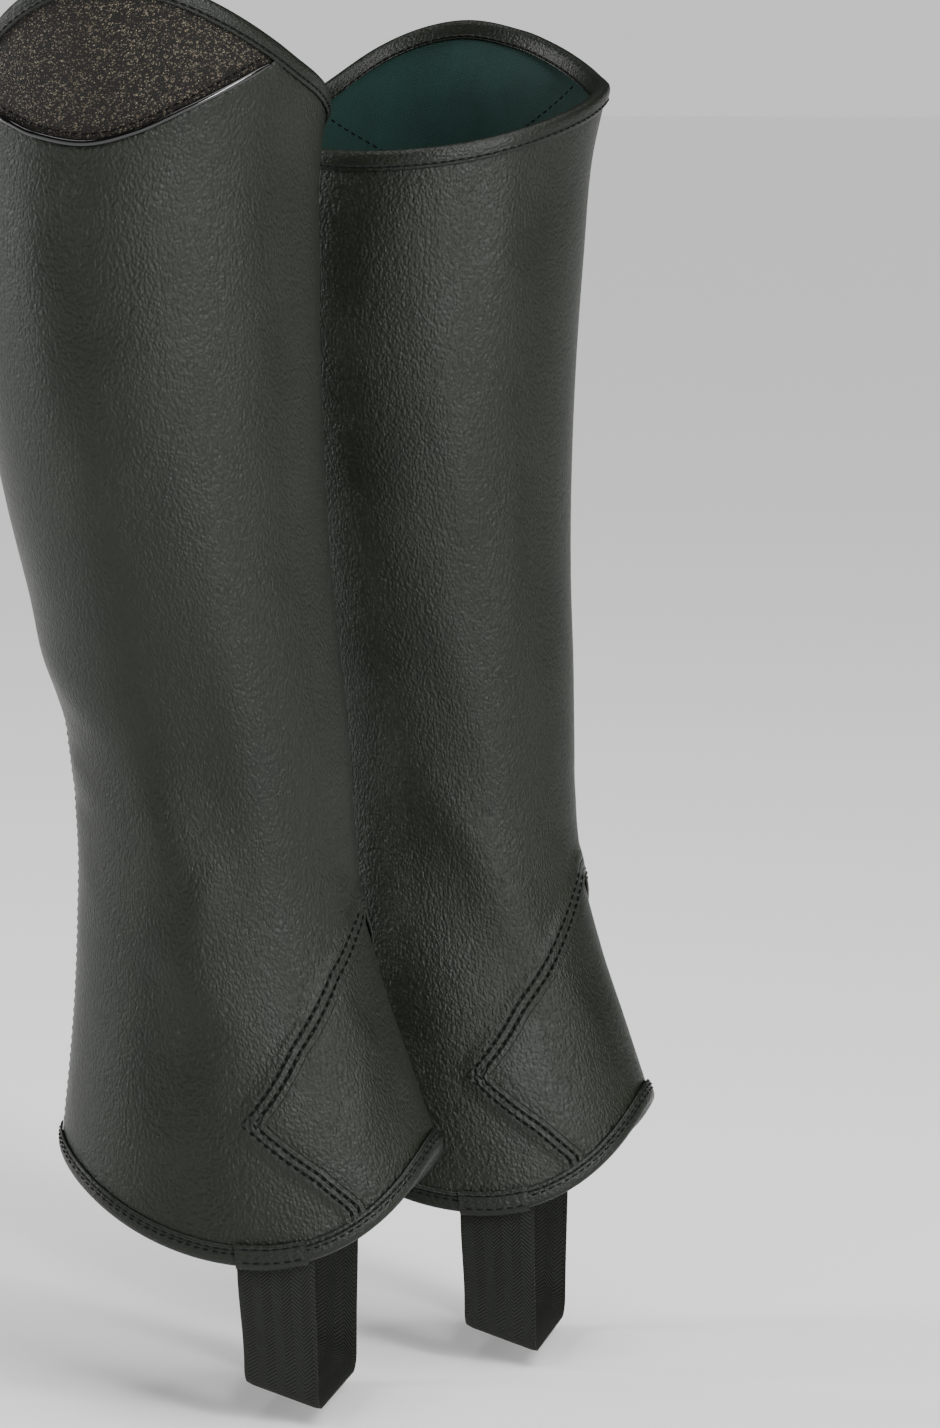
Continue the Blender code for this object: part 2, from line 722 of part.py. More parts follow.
def zip_slider(leg):
    """The slider's plate with the open bridge that holds the pull, joined by a union."""
    room = BRIDGE_ROOM / 2
    top = room + BRIDGE_BAR
    half = SLIDER_LENGTH / 2
    plate_outline = ((-room - SLIDER_PLATE, -half), (-room, -half), (-room, half), (-room - SLIDER_PLATE, half))
    plate = profile_solid(f"{leg.name}_zip_slider", plate_outline, SLIDER_WIDTH / 2, "metal")
    reach = BRIDGE_REACH
    chamfer = BRIDGE_CHAMFER
    bar = reach - BRIDGE_BAR - chamfer / 2
    bridge_outline = (
        (-room - BRIDGE_SINK, reach),
        (top - chamfer, reach),
        (top, reach - chamfer),
        (top, chamfer - reach),
        (top - chamfer, -reach),
        (-room + LAYER_GAP, -reach),
        (-room + LAYER_GAP, -bar),
        (room, -bar),
        (room, bar),
        (-room - BRIDGE_SINK, bar),
    )
    bridge = profile_solid(f"{leg.name}_bridge_guide", bridge_outline, BRIDGE_WIDTH / 2, "metal")
    bridge.hide_render = True
    bridge.display_type = "WIRE"
    joined = plate.modifiers.new("bridge", "BOOLEAN")
    joined.operation = "UNION"
    joined.solver = "EXACT"
    joined.object = bridge
    for piece in (plate, bridge):
        piece.location = zip_origin(leg)
    return plate


def zip_pull(leg):
    """The pull: a flat tab whose window closes round the bridge, its origin on the hinge axis."""
    half = PULL_THICKNESS / 2
    outer, inner = {}, {}
    for index, row in enumerate(PULL_ROWS):
        window = min(PULL_WINDOW_HALF, row.half_width - PULL_SIDE_LEAST)
        for column, out in enumerate((-row.half_width, -window, window, row.half_width)):
            outer[index, column] = Vector((out, half, row.up)) * MM
            inner[index, column] = Vector((out, -half, row.up)) * MM
    cells = {(index, column) for index in range(len(PULL_ROWS) - 1) for column in range(3)} - {(1, 1)}
    pull = wall(f"{leg.name}_zip_pull", outer, inner, cells, "metal")
    pull.location = zip_origin(leg)
    return pull


def tab_middle(leg, angle):
    """Height of the snap tab's middle line."""
    share = (angle - TAB_END) / (TAB_ROOT - TAB_END)
    middle = TAB_END_MIDDLE + (TAB_ROOT_MIDDLE - TAB_END_MIDDLE) * share
    return middle + leg.lift * outer_side(angle)


def snap_tab(pattern):
    """The tab that is sewn on behind the zip and closes over it, with a rounded end."""
    leg = pattern.leg
    low_offset = LEATHER + LAYER_GAP
    per_degree = math.radians(section_size("half_width", TAB_END_MIDDLE))
    end_angles = [TAB_END + TAB_CORNER * share / per_degree for share in (0.0, 0.13, 0.5, 1.0)]
    others = pattern.angles_between(pattern.lens_row - 1, end_angles[-1], TAB_ROOT)
    outer, inner = [], []
    for angle in end_angles[:-1] + others:
        inside = min((angle - TAB_END) * per_degree / TAB_CORNER, 1.0)
        bulge = math.sqrt(max(0.0, 1.0 - (1.0 - inside) ** 2))
        half = TAB_HEIGHT / 2 - TAB_CORNER * (1.0 - bulge)
        heights = [tab_middle(leg, angle) + half * share for share in (-1.0, -0.5, 0.0, 0.5, 1.0)]
        outer.append([leg_point(leg, angle, height, low_offset + TAB_THICKNESS) for height in heights])
        inner.append([leg_point(leg, angle, height, low_offset) for height in heights])
    rows_wall(f"{leg.name}_snap_tab", outer, inner, "leather")


def snap_stud(leg):
    """The press stud's domed cap on the tab."""
    offset = LEATHER + 2 * LAYER_GAP + TAB_THICKNESS
    height = tab_middle(leg, STUD_ANGLE)
    centre = leg_point(leg, STUD_ANGLE, height, offset)
    axis = (leg_point(leg, STUD_ANGLE, height, offset + 10.0) - centre).normalized()
    side = axis.cross(Vector((0.0, 0.0, 1.0))).normalized()
    up = side.cross(axis)
    profile = ((STUD_RADIUS, 0.0), (STUD_RADIUS, STUD_RIM), (STUD_RADIUS * 0.75, STUD_HEIGHT * 0.85))
    steps = STUD_STEPS
    shape = bmesh.new()
    rings = []
    for radius, rise in profile:
        ring = []
        for step in range(steps):
            turn = 2 * math.pi * step / steps
            reach = side * math.cos(turn) * radius + up * math.sin(turn) * radius
            ring.append(shape.verts.new(centre + (reach + axis * rise) * MM))
        rings.append(ring)
    for low, high in zip(rings, rings[1:]):
        for step in range(steps):
            after = (step + 1) % steps
            shape.faces.new((low[step], low[after], high[after], high[step]))
    peak = shape.verts.new(centre + axis * STUD_HEIGHT * MM)
    for step in range(steps):
        shape.faces.new((rings[-1][step], rings[-1][(step + 1) % steps], peak))
    shape.faces.new(rings[0][::-1])
    add_object(f"{leg.name}_snap_stud", shape, "metal")


def half_chap(leg):
    """Every piece of one chap."""
    pattern = Pattern(leg)
    main_panels(pattern)
    bindings(pattern)
    strap_patches(pattern)
    piping(pattern)
    foot_strap(leg)
    zip_chain(pattern)
    zip_slider(leg)
    zip_pull(leg)
    snap_tab(pattern)
    snap_stud(leg)


def main():
    for old in list(bpy.data.objects):
        bpy.data.objects.remove(old)
    for leg in LEGS:
        half_chap(leg)


main()
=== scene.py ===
"""A pair of half chaps in their worn form: fine cloth pieces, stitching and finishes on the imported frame.

Each chap is laid out as a flat pattern (an angle round the leg and a height over the hem) and each piece is
set on the form of a general leg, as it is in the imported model. Tables are in millimetres and degrees.
World: metres, +Z up, the wearer faces -Y, the right leg at -X.
"""

import logging
import math
from collections.abc import Callable, Iterable, Sequence
from dataclasses import dataclass, field
from enum import Enum

import bmesh
import bpy
import numpy as np
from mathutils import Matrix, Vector


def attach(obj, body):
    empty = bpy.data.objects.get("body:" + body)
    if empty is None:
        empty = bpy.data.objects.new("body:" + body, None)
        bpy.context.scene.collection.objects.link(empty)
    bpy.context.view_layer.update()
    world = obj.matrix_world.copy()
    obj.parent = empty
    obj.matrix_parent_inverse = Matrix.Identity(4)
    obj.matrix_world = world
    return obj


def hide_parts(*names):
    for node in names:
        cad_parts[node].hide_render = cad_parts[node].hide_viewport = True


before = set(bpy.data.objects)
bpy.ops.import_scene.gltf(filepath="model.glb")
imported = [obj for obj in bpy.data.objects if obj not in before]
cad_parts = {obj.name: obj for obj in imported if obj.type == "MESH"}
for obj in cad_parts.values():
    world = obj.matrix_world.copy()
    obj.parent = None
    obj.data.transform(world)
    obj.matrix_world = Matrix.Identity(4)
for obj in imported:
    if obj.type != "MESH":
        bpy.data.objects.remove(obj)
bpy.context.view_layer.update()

log = logging.getLogger("half_chaps")

MM = 0.001
HOLD_HEIGHT = 250.0

LEATHER = 1.4
LAYER_GAP = 0.3
LINING = 1.0
BINDING = 0.8
BINDING_WIDTH = 7.0
EDGE_COVER = 1.2
PATCH_LAP = 0.8
PATCH_THICKNESS = 0.7
ZIP_HALF_GAP = 5.0
ZIP_TOP = 329.0
SHIN_TAPER = 0.10
LEAN_START = 120.0
LEAN_FULL = 180.0
HEM_LOW = -1.5
HEM_RISE = 33.0
HEM_DIP_ANGLE = 82.0
LENS_REST_BAND = 5.0
LENS_COLUMNS = 11
THREAD_LIFT = 0.02

# An edge distance that lies past every stitch groove.
FAR = 99.0
# The mean radius that turns degrees round the leg into the millimetres of the grain.
GRAIN_RADIUS = 52.0

# height, front, back, half_width
SECTIONS = np.array((
    (-10.0, 86.5, 57.0, 46.5),
    (15.0, 79.5, 54.5, 45.5),
    (38.0, 71.5, 52.0, 44.0),
    (60.0, 64.0, 49.5, 42.0),
    (85.0, 55.5, 47.3, 39.5),
    (112.0, 48.5, 46.0, 37.8),
    (135.0, 45.5, 45.5, 37.2),
    (160.0, 44.5, 47.2, 38.0),
    (185.0, 43.2, 51.5, 40.5),
    (215.0, 41.0, 57.5, 44.5),
    (250.0, 39.7, 64.5, 49.0),
    (290.0, 39.6, 70.5, 53.0),
    (330.0, 40.8, 73.5, 55.0),
    (360.0, 42.2, 73.6, 55.8),
    (386.0, 46.6, 73.2, 56.8),
    (420.0, 51.0, 73.5, 58.5),
))

# angle, height of the top edge
TOP_LINE = np.array((
    (-180.0, 378.0), (-150.0, 372.0), (-125.0, 366.2), (-97.0, 364.5), (-66.0, 367.5), (-30.0, 377.0),
    (0.0, 386.0), (23.0, 392.0), (35.0, 396.9), (57.0, 407.2), (70.0, 412.5), (88.0, 416.6), (103.0, 414.5),
    (119.0, 407.0), (138.5, 392.7), (150.0, 385.5), (165.0, 380.0), (180.0, 378.0),
))

# angle, height of the seam under the lens insert
LENS_LINE = np.array((
    (30.0, 393.5), (36.0, 390.5), (53.0, 380.2), (65.0, 373.0), (80.0, 365.0), (95.0, 361.3), (112.0, 364.7),
    (121.0, 368.8), (132.0, 373.4), (139.0, 376.3), (155.0, 380.0),
))

# height, half angle of the ankle panel's side seam
PANEL_SEAM = np.array((
    (19.0, 49.5), (31.0, 60.0), (46.0, 75.5), (68.0, 57.0), (88.0, 36.0), (101.0, 18.0), (111.0, 2.0),
))

# share of the way to the lens line, half angle of the front block
UPPER_ROWS = (
    (0.345, 14.0), (0.395, 24.0), (0.445, 31.0), (0.500, 35.0), (0.565, 36.0), (0.645, 36.0), (0.740, 36.0),
    (0.865, 36.0), (1.000, 36.0),
)


class Side(Enum):
    """Which leg a chap is worn on."""

    RIGHT = "right"
    LEFT = "left"


class Slot(Enum):
    """Material slots of the record."""

    LEATHER = "leather"
    INSERT = "insert"
    PATENT = "patent"
    BINDING = "binding"
    LINING = "lining"
    ELASTIC = "elastic"
    TAPE = "tape"
    METAL = "metal"


@dataclass(frozen=True)
class Crease:
    """A soft ridge (depth over 0) or trough that the worn leather keeps, in millimetres and degrees."""

    angle: float
    height: float
    slant: float
    length: float
    width: float
    depth: float


@dataclass(frozen=True)
class Leg:
    """Where one leg stands and how it leans."""

    side: Side
    sign: float
    across: float
    ahead: float
    lean_out: float
    lean_ahead: float
    lift: float
    creases: tuple[Crease, ...]


# The first rows of each leg are the solid's own creases; the finer ones follow.
RIGHT_CREASES = (
    Crease(95.0, 125.0, 12.0, 42.0, 13.0, 1.7),
    Crease(62.0, 175.0, -8.0, 60.0, 14.0, 1.3),
    Crease(82.0, 160.0, 6.0, 45.0, 12.0, -1.6),
    Crease(158.0, 172.0, 62.0, 26.0, 11.0, -1.5),
    Crease(150.0, 196.0, 66.0, 26.0, 11.0, 1.2),
    Crease(88.0, 118.0, -22.0, 16.0, 6.0, 1.0),
    Crease(97.0, 96.0, 28.0, 18.0, 6.0, 0.9),
    Crease(100.0, 140.0, 14.0, 20.0, 7.0, 0.8),
    Crease(84.0, 78.0, 6.0, 22.0, 7.0, 0.6),
    Crease(148.0, 160.0, 58.0, 16.0, 4.0, 0.6),
    Crease(152.0, 148.0, 66.0, 15.0, 4.0, -0.6),
    Crease(145.0, 178.0, 50.0, 18.0, 5.0, -0.5),
    Crease(140.0, 120.0, 40.0, 18.0, 6.0, 0.5),
    Crease(60.0, 140.0, 4.0, 40.0, 7.0, 0.8),
    Crease(66.0, 215.0, -4.0, 34.0, 8.0, 0.7),
    Crease(104.0, 235.0, -6.0, 46.0, 9.0, 0.8),
    Crease(112.0, 310.0, 3.0, 60.0, 11.0, 0.7),
    Crease(-55.0, 150.0, -16.0, 40.0, 8.0, 0.8),
    Crease(-88.0, 118.0, 22.0, 34.0, 7.0, -0.7),
    Crease(-140.0, 165.0, -58.0, 18.0, 5.0, 0.6),
    Crease(-150.0, 150.0, -64.0, 16.0, 4.0, -0.6),
    Crease(20.0, 128.0, 76.0, 12.0, 5.0, -0.4),
    Crease(-25.0, 138.0, -70.0, 13.0, 5.0, 0.4),
    Crease(28.0, 74.0, 30.0, 20.0, 6.0, 0.5),
    Crease(40.0, 50.0, -20.0, 16.0, 5.0, 0.4),
)
LEFT_CREASES = (
    Crease(-62.0, 150.0, -14.0, 52.0, 14.0, 1.6),
    Crease(-92.0, 120.0, -20.0, 50.0, 13.0, -1.6),
    Crease(-50.0, 300.0, 4.0, 70.0, 16.0, 1.1),
    Crease(158.0, 172.0, 62.0, 26.0, 11.0, -1.5),
    Crease(-152.0, 190.0, 60.0, 26.0, 11.0, 1.3),
    Crease(-72.0, 128.0, -30.0, 26.0, 7.0, 1.0),
    Crease(-60.0, 104.0, -18.0, 24.0, 7.0, 0.9),
    Crease(-82.0, 178.0, -10.0, 36.0, 8.0, -0.9),
    Crease(-48.0, 205.0, 6.0, 40.0, 8.0, 0.8),
    Crease(-68.0, 262.0, -6.0, 46.0, 9.0, 0.8),
    Crease(-52.0, 342.0, 0.0, 30.0, 7.0, 0.6),
    Crease(-22.0, 128.0, -74.0, 12.0, 5.0, -0.4),
    Crease(24.0, 140.0, 70.0, 13.0, 5.0, 0.4),
    Crease(60.0, 150.0, 14.0, 40.0, 8.0, 0.8),
    Crease(86.0, 120.0, -22.0, 34.0, 7.0, -0.7),
    Crease(142.0, 160.0, 58.0, 18.0, 5.0, 0.6),
    Crease(150.0, 148.0, 64.0, 16.0, 4.0, -0.6),
    Crease(-144.0, 160.0, -60.0, 16.0, 4.0, 0.6),
    Crease(-34.0, 70.0, -28.0, 20.0, 6.0, 0.5),
)
RIGHT = Leg(Side.RIGHT, -1.0, 51.0, -28.5, 0.031, -0.035, 7.0, RIGHT_CREASES)
LEFT = Leg(Side.LEFT, 1.0, 51.0, 28.5, 0.031, 0.035, -7.0, LEFT_CREASES)


def linear(hex_colour: str) -> tuple[float, float, float, float]:
    """Turns an sRGB hex colour into linear RGB with alpha 1.

    Args:
        hex_colour: Six hex digits.

    Returns:
        The linear colour.
    """
    shares = [int(hex_colour[i : i + 2], 16) / 255 for i in (0, 2, 4)]
    red, green, blue = (s / 12.92 if s <= 0.04045 else ((s + 0.055) / 1.055) ** 2.4 for s in shares)
    return (red, green, blue, 1.0)


def along(places: np.ndarray, values: np.ndarray, where: np.ndarray) -> np.ndarray:
    """Smooth values between the rows of a table.

    Args:
        places: The table's first column, rising.
        values: Its value column.
        where: Places to read it at.

    Returns:
        The value at each place.
    """
    where = np.asarray(where, float)
    last = len(places) - 2
    low = np.clip(np.searchsorted(places, where, side="right") - 1, 0, last)
    before, after = np.maximum(low - 1, 0), np.minimum(low + 2, last + 1)
    span = places[low + 1] - places[low]
    share = np.clip((where - places[low]) / span, 0.0, 1.0)
    slope_low = (values[low + 1] - values[before]) / (places[low + 1] - places[before]) * span
    slope_high = (values[after] - values[low]) / (places[after] - places[low]) * span
    square, cube = share**2, share**3
    return (
        (2 * cube - 3 * square + 1) * values[low]
        + (cube - 2 * square + share) * slope_low
        + (3 * square - 2 * cube) * values[low + 1]
        + (cube - square) * slope_high
    )


def around(angle: np.ndarray) -> np.ndarray:
    """Angles brought into -180 to 180."""
    return (np.asarray(angle, float) + 180.0) % 360.0 - 180.0


def smooth(share: np.ndarray) -> np.ndarray:
    """A soft step from 0 to 1 as the share goes from 0 to 1."""
    share = np.clip(share, 0.0, 1.0)
    return share * share * (3 - 2 * share)


@dataclass(frozen=True)
class LegForm:
    """The worn form that every piece of one chap is laid on."""

    leg: Leg

    def size(self, column: int, height: np.ndarray) -> np.ndarray:
        """One column of the section table at each height."""
        return along(SECTIONS[:, 0], SECTIONS[:, column], height)

    def lift(self, angle: np.ndarray) -> np.ndarray:
        """How far this leg's outer arch stands over the table's, at each angle."""
        return self.leg.lift * np.maximum(np.sin(np.radians(around(angle))), 0.0)

    def crease_depth(self, angle: np.ndarray, height: np.ndarray) -> np.ndarray:
        """How far the creases move the cloth out.

        Args:
            angle: Angles round the leg.
            height: Heights over the hem.

        Returns:
            The move in millimetres.
        """
        total = np.zeros(np.broadcast(angle, height).shape)
        per_degree = np.radians(self.size(3, height))
        for crease in self.leg.creases:
            across = around(angle - crease.angle) * per_degree
            up = height - crease.height
            cos, sin = math.cos(math.radians(crease.slant)), math.sin(math.radians(crease.slant))
            side, run = across * cos - up * sin, across * sin + up * cos
            total += crease.depth * np.exp(-((side / crease.width) ** 2) - (run / crease.length) ** 2)
        return total

    def points(self, angle: np.ndarray, height: np.ndarray, offset: np.ndarray | float = 0.0) -> np.ndarray:
        """World points of the cloth.

        Args:
            angle: Angles round the leg, 0 in front and 90 on the outer side.
            height: Heights over the hem.
            offset: How far each point is moved out.

        Returns:
            Points in metres, the last axis x, y, z.
        """
        angle, height = np.asarray(angle, float), np.asarray(height, float)
        turn = np.radians(angle)
        front, back, half_width = (self.size(column, height) for column in (1, 2, 3))
        half_depth, middle = (front + back) / 2, (front - back) / 2
        out = half_width * (np.sin(turn) - SHIN_TAPER / 2 * np.sin(2 * turn))
        ahead = middle + half_depth * np.cos(turn)
        normal_out = half_depth * np.sin(turn)
        normal_ahead = half_width * (np.cos(turn) - SHIN_TAPER * np.cos(2 * turn))
        norm = np.hypot(normal_out, normal_ahead)
        move = offset + self.crease_depth(angle, height)
        return self.place(out + normal_out / norm * move, ahead + normal_ahead / norm * move, height)

    def place(self, out: np.ndarray, ahead: np.ndarray, height: np.ndarray) -> np.ndarray:
        """World points at distances out from, ahead of and over the middle of the hem.

        Args:
            out: Distances out.
            ahead: Distances ahead.
            height: Heights over the hem.

        Returns:
            Points in metres.
        """
        leg = self.leg
        lean = np.where(
            height >= LEAN_FULL,
            height - (LEAN_START + LEAN_FULL) / 2,
            np.maximum(height - LEAN_START, 0.0) ** 2 / (2 * (LEAN_FULL - LEAN_START)),
        )
        x = leg.sign * (leg.across + out + leg.lean_out * height)
        y = -(leg.ahead + ahead + leg.lean_ahead * lean)
        return np.stack(np.broadcast_arrays(x, y, height - HOLD_HEIGHT), -1) * MM

    def per_degree(self, angle: np.ndarray, height: np.ndarray) -> np.ndarray:
        """Millimetres of cloth to a degree round the leg at each place.

        Args:
            angle: Angles round the leg.
            height: Heights over the hem.

        Returns:
            Millimetres to a degree.
        """
        turn = np.radians(angle)
        half_depth = (self.size(1, height) + self.size(2, height)) / 2
        across = self.size(3, height) * (np.cos(turn) - SHIN_TAPER * np.cos(2 * turn))
        return np.radians(np.hypot(across, half_depth * np.sin(turn)))

    def hem(self, angle: np.ndarray) -> np.ndarray:
        """Height of the hem binding's lower edge.

        Args:
            angle: Angles round the leg.

        Returns:
            Heights over the mean hem.
        """
        turn = np.abs(around(angle))
        share = np.where(turn < HEM_DIP_ANGLE, turn / HEM_DIP_ANGLE, (180.0 - turn) / (180.0 - HEM_DIP_ANGLE))
        return HEM_LOW + HEM_RISE * np.cos(np.pi / 2 * share) ** 2

    def top(self, angle: np.ndarray) -> np.ndarray:
        """Height of the top binding's upper edge."""
        return along(TOP_LINE[:, 0], TOP_LINE[:, 1], around(angle)) + self.lift(angle)

    def lens(self, angle: np.ndarray) -> np.ndarray:
        """Height of the seam under the lens insert, and of a plain row elsewhere.

        Args:
            angle: Angles round the leg.

        Returns:
            Heights over the hem.
        """
        turn = around(angle)
        top = self.top(turn)
        rest = top - EDGE_COVER - LENS_REST_BAND
        seam = along(LENS_LINE[:, 0], LENS_LINE[:, 1], turn) + self.lift(turn)
        seam = np.minimum(seam, top - EDGE_COVER - LENS_REST_BAND / 2)
        inside = (LENS_LINE[0, 0] < turn) & (turn < LENS_LINE[-1, 0])
        return np.where(inside, seam, rest)


@dataclass(frozen=True)
class SeamPath:
    """A line on the pattern, as angles and heights."""

    angle: np.ndarray
    height: np.ndarray

    def moved(self, form: LegForm, distance: float) -> "SeamPath":
        """Moves the line sideways, to its left for a distance over 0, with mitred corners.

        Args:
            form: The form that it lies on.
            distance: Millimetres.

        Returns:
            The moved line.
        """
        per = form.per_degree(self.angle, self.height)
        y = self.height
        x = np.concatenate(([0.0], np.cumsum(np.diff(self.angle) * (per[1:] + per[:-1]) / 2)))
        run = np.stack((np.diff(x), np.diff(y)), -1)
        run /= np.linalg.norm(run, axis=1, keepdims=True)
        left = np.stack((-run[:, 1], run[:, 0]), -1)
        before, after = np.vstack((left[:1], left)), np.vstack((left, left[-1:]))
        both = before + after
        move = both * distance / np.maximum(1.0 + (before * after).sum(1), 0.35)[:, None]
        return SeamPath(self.angle + move[:, 0] / per, self.height + move[:, 1])

    def where(self, inside: np.ndarray) -> "SeamPath":
        """The part of the line where a condition holds."""
        return SeamPath(self.angle[inside], self.height[inside])

    def distance(self, form: LegForm, angle: np.ndarray, height: np.ndarray) -> np.ndarray:
        """Shortest distance from places on the pattern to this line.

        Args:
            form: The form that it lies on.
            angle: Angles of the places.
            height: Their heights.

        Returns:
            Distances in millimetres.
        """
        shape = np.shape(angle)
        angle, height = np.ravel(angle), np.ravel(height)
        per = form.per_degree(angle, height)
        best = np.full(angle.shape, 1e9)
        for i in range(len(self.angle) - 1):
            ax, ay = (self.angle[i] - angle) * per, self.height[i] - height
            bx, by = (self.angle[i + 1] - angle) * per, self.height[i + 1] - height
            dx, dy = bx - ax, by - ay
            share = np.clip(-(ax * dx + ay * dy) / np.maximum(dx * dx + dy * dy, 1e-12), 0.0, 1.0)
            best = np.minimum(best, np.hypot(ax + dx * share, ay + dy * share))
        return best.reshape(shape)


def line_at(angles: np.ndarray, height_of: Callable[[np.ndarray], np.ndarray]) -> SeamPath:
    """A seam path at the heights that a function gives."""
    return SeamPath(angles, height_of(angles))


@dataclass
class Pattern:
    """The chap's pattern grid, the same as the solids', read at fractions of its rows and columns."""

    form: LegForm
    side_columns: int = 13
    front_columns: int = 6
    zip_columns: int = 2
    lens_rows: int = 2
    shares: np.ndarray = field(init=False)
    fronts: np.ndarray = field(init=False)

    def __post_init__(self) -> None:
        """Works out the rows' shares and the front block's half angles."""
        form = self.form
        shares, fronts = [0.0], [float(PANEL_SEAM[0, 1])]
        for height, angle in PANEL_SEAM:
            low = float(form.hem(angle)) + EDGE_COVER
            shares.append((height - low) / (float(form.lens(angle)) - low))
            fronts.append(float(angle))
        for share, angle in UPPER_ROWS:
            shares.append(share)
            fronts.append(angle)
        self.shares, self.fronts = np.array(shares), np.array(fronts)

    @property
    def apex_row(self) -> int:
        """The row of the ankle panel's apex."""
        return len(PANEL_SEAM)

    @property
    def lens_row(self) -> int:
        """The row of the lens seam."""
        return len(self.shares) - 1

    @property
    def top_row(self) -> int:
        """The last row, under the top binding."""
        return self.lens_row + self.lens_rows

    @property
    def outer_start(self) -> int:
        """The first column of the outer side."""
        return self.side_columns + self.front_columns

    @property
    def lens_end(self) -> int:
        """The last column of the lens insert."""
        return self.outer_start + LENS_COLUMNS

    @property
    def zip_start(self) -> int:
        """The first column of the zip."""
        return self.outer_start + self.side_columns

    @property
    def zip_end(self) -> int:
        """The last column of the zip, where the pattern comes round to its first."""
        return self.zip_start + self.zip_columns

    def row_ends(self, row: int, first: int, last: int) -> np.ndarray:
        """The two angles at which a row meets two columns."""
        return self.places(np.full(2, float(row)), np.array((first, last), float))[0]

    def places(self, row: np.ndarray, column: np.ndarray) -> tuple[np.ndarray, np.ndarray]:
        """Angles and heights at fractional rows and columns.

        Args:
            row: Row numbers from 0 at the hem.
            column: Column numbers from 0 at the zip's inner side.

        Returns:
            The angles and the heights.
        """
        row, column = np.broadcast_arrays(np.asarray(row, float), np.asarray(column, float))
        form, last = self.form, self.lens_row
        rows = np.arange(last + 1, dtype=float)
        low_row = np.minimum(row, last)
        share = np.interp(low_row, rows, self.shares)
        straight = np.interp(low_row, rows, self.fronts)
        bent = along(rows[3:], self.fronts[3:], low_row)
        front = np.where((low_row > 3) & (low_row < self.apex_row), bent, straight)
        back_low = float(form.hem(180.0)) + EDGE_COVER
        back = back_low + (float(form.lens(180.0)) - back_low) * share
        gap = np.degrees(ZIP_HALF_GAP / (form.size(3, back) * (1 + SHIN_TAPER)))
        side, start = 180.0 - gap - front, self.side_columns
        angle = np.where(
            column <= start,
            -(180.0 - gap) + side * column / start,
            np.where(
                column <= self.outer_start,
                -front + 2 * front * (column - start) / self.front_columns,
                np.where(
                    column <= self.zip_start,
                    front + side * (column - self.outer_start) / start,
                    180.0 - gap + 2 * gap * (column - self.zip_start) / self.zip_columns,
                ),
            ),
        )
        low = form.hem(angle) + EDGE_COVER
        lens = form.lens(angle)
        high = form.top(angle) - EDGE_COVER
        under = low + (lens - low) * share
        over = lens + (high - lens) * (row - last) / self.lens_rows
        return angle, np.where(row <= last, under, over)

    def fine_rows(self, start: int, end: int, step: float) -> np.ndarray:
        """Fractional rows about a step apart.

        Args:
            start: First row.
            end: Last row.
            step: Millimetres between rows.

        Returns:
            The rows, whole ones included.
        """
        found = [float(start)]
        for row in range(start, end):
            _, heights = self.places(np.array([row, row + 1.0]), np.full(2, 9.0))
            count = max(1, math.ceil(abs(heights[1] - heights[0]) / step))
            found += [row + (i + 1) / count for i in range(count)]
        return np.array(found)

    def panel_seam(self, sign: float) -> SeamPath:
        """The ankle panel's side seam from hem to apex.

        Args:
            sign: Over 0 for the seam on the outer side, under 0 for the one on the inner side.

        Returns:
            The seam.
        """
        rows = np.unique(np.concatenate((np.linspace(0, 3, 22), np.linspace(3, self.apex_row, 40))))
        column = self.outer_start if sign > 0 else self.side_columns
        return SeamPath(*self.places(rows, np.full(rows.shape, float(column))))

    def from_panel_seams(self, angle: np.ndarray, height: np.ndarray) -> np.ndarray:
        """Distances from places on the pattern to the nearer side seam of the ankle panel."""
        return np.minimum(*(self.panel_seam(sign).distance(self.form, angle, height) for sign in (-1.0, 1.0)))


@dataclass
class MeshParts:
    """Points, faces and named point values that become one mesh."""

    points: list[np.ndarray] = field(default_factory=list)
    faces: list[tuple[int, ...]] = field(default_factory=list)
    pattern: list[np.ndarray] = field(default_factory=list)
    edges: list[np.ndarray] = field(default_factory=list)
    count: int = 0

    def add(
        self, points: np.ndarray, pattern: np.ndarray | None = None, edges: np.ndarray | None = None
    ) -> int:
        """Adds points and their values.

        Args:
            points: Points in metres.
            pattern: Millimetres round and up, for weave and grain, or nothing where no finish reads them.
            edges: Distances from edges in millimetres, for stitch grooves, or nothing where there are none.

        Returns:
            The number of the first point added.
        """
        flat = points.reshape(-1, 3)
        start = self.count
        self.points.append(flat)
        self.pattern.append(np.zeros(flat.shape) if pattern is None else pattern.reshape(-1, 3))
        self.edges.append(np.full(flat.shape, FAR) if edges is None else edges.reshape(-1, 3))
        self.count += len(flat)
        return start

    def build(self, name: str, flip: bool = False, sharp_over: float | None = None) -> bpy.types.Object:
        """Makes the object, shaded smooth.

        Args:
            name: The piece's name.
            flip: Whether the faces are turned round.
            sharp_over: The angle in degrees over which an edge stays sharp, or nothing for none.

        Returns:
            The object, linked to the scene.
        """
        mesh = bpy.data.meshes.new(name)
        faces = [face[::-1] for face in self.faces] if flip else self.faces
        mesh.from_pydata(np.vstack(self.points).tolist(), [], faces)
        for label, values in (("pattern_mm", self.pattern), ("edge_mm", self.edges)):
            attribute = mesh.attributes.new(label, "FLOAT_VECTOR", "POINT")
            attribute.data.foreach_set("vector", np.vstack(values).astype(np.float32).ravel())
        mesh.update()
        mesh.shade_smooth()
        if sharp_over is not None:
            mesh.set_sharp_from_angle(angle=math.radians(sharp_over))
        made = bpy.data.objects.new(name, mesh)
        bpy.context.scene.collection.objects.link(made)
        return made


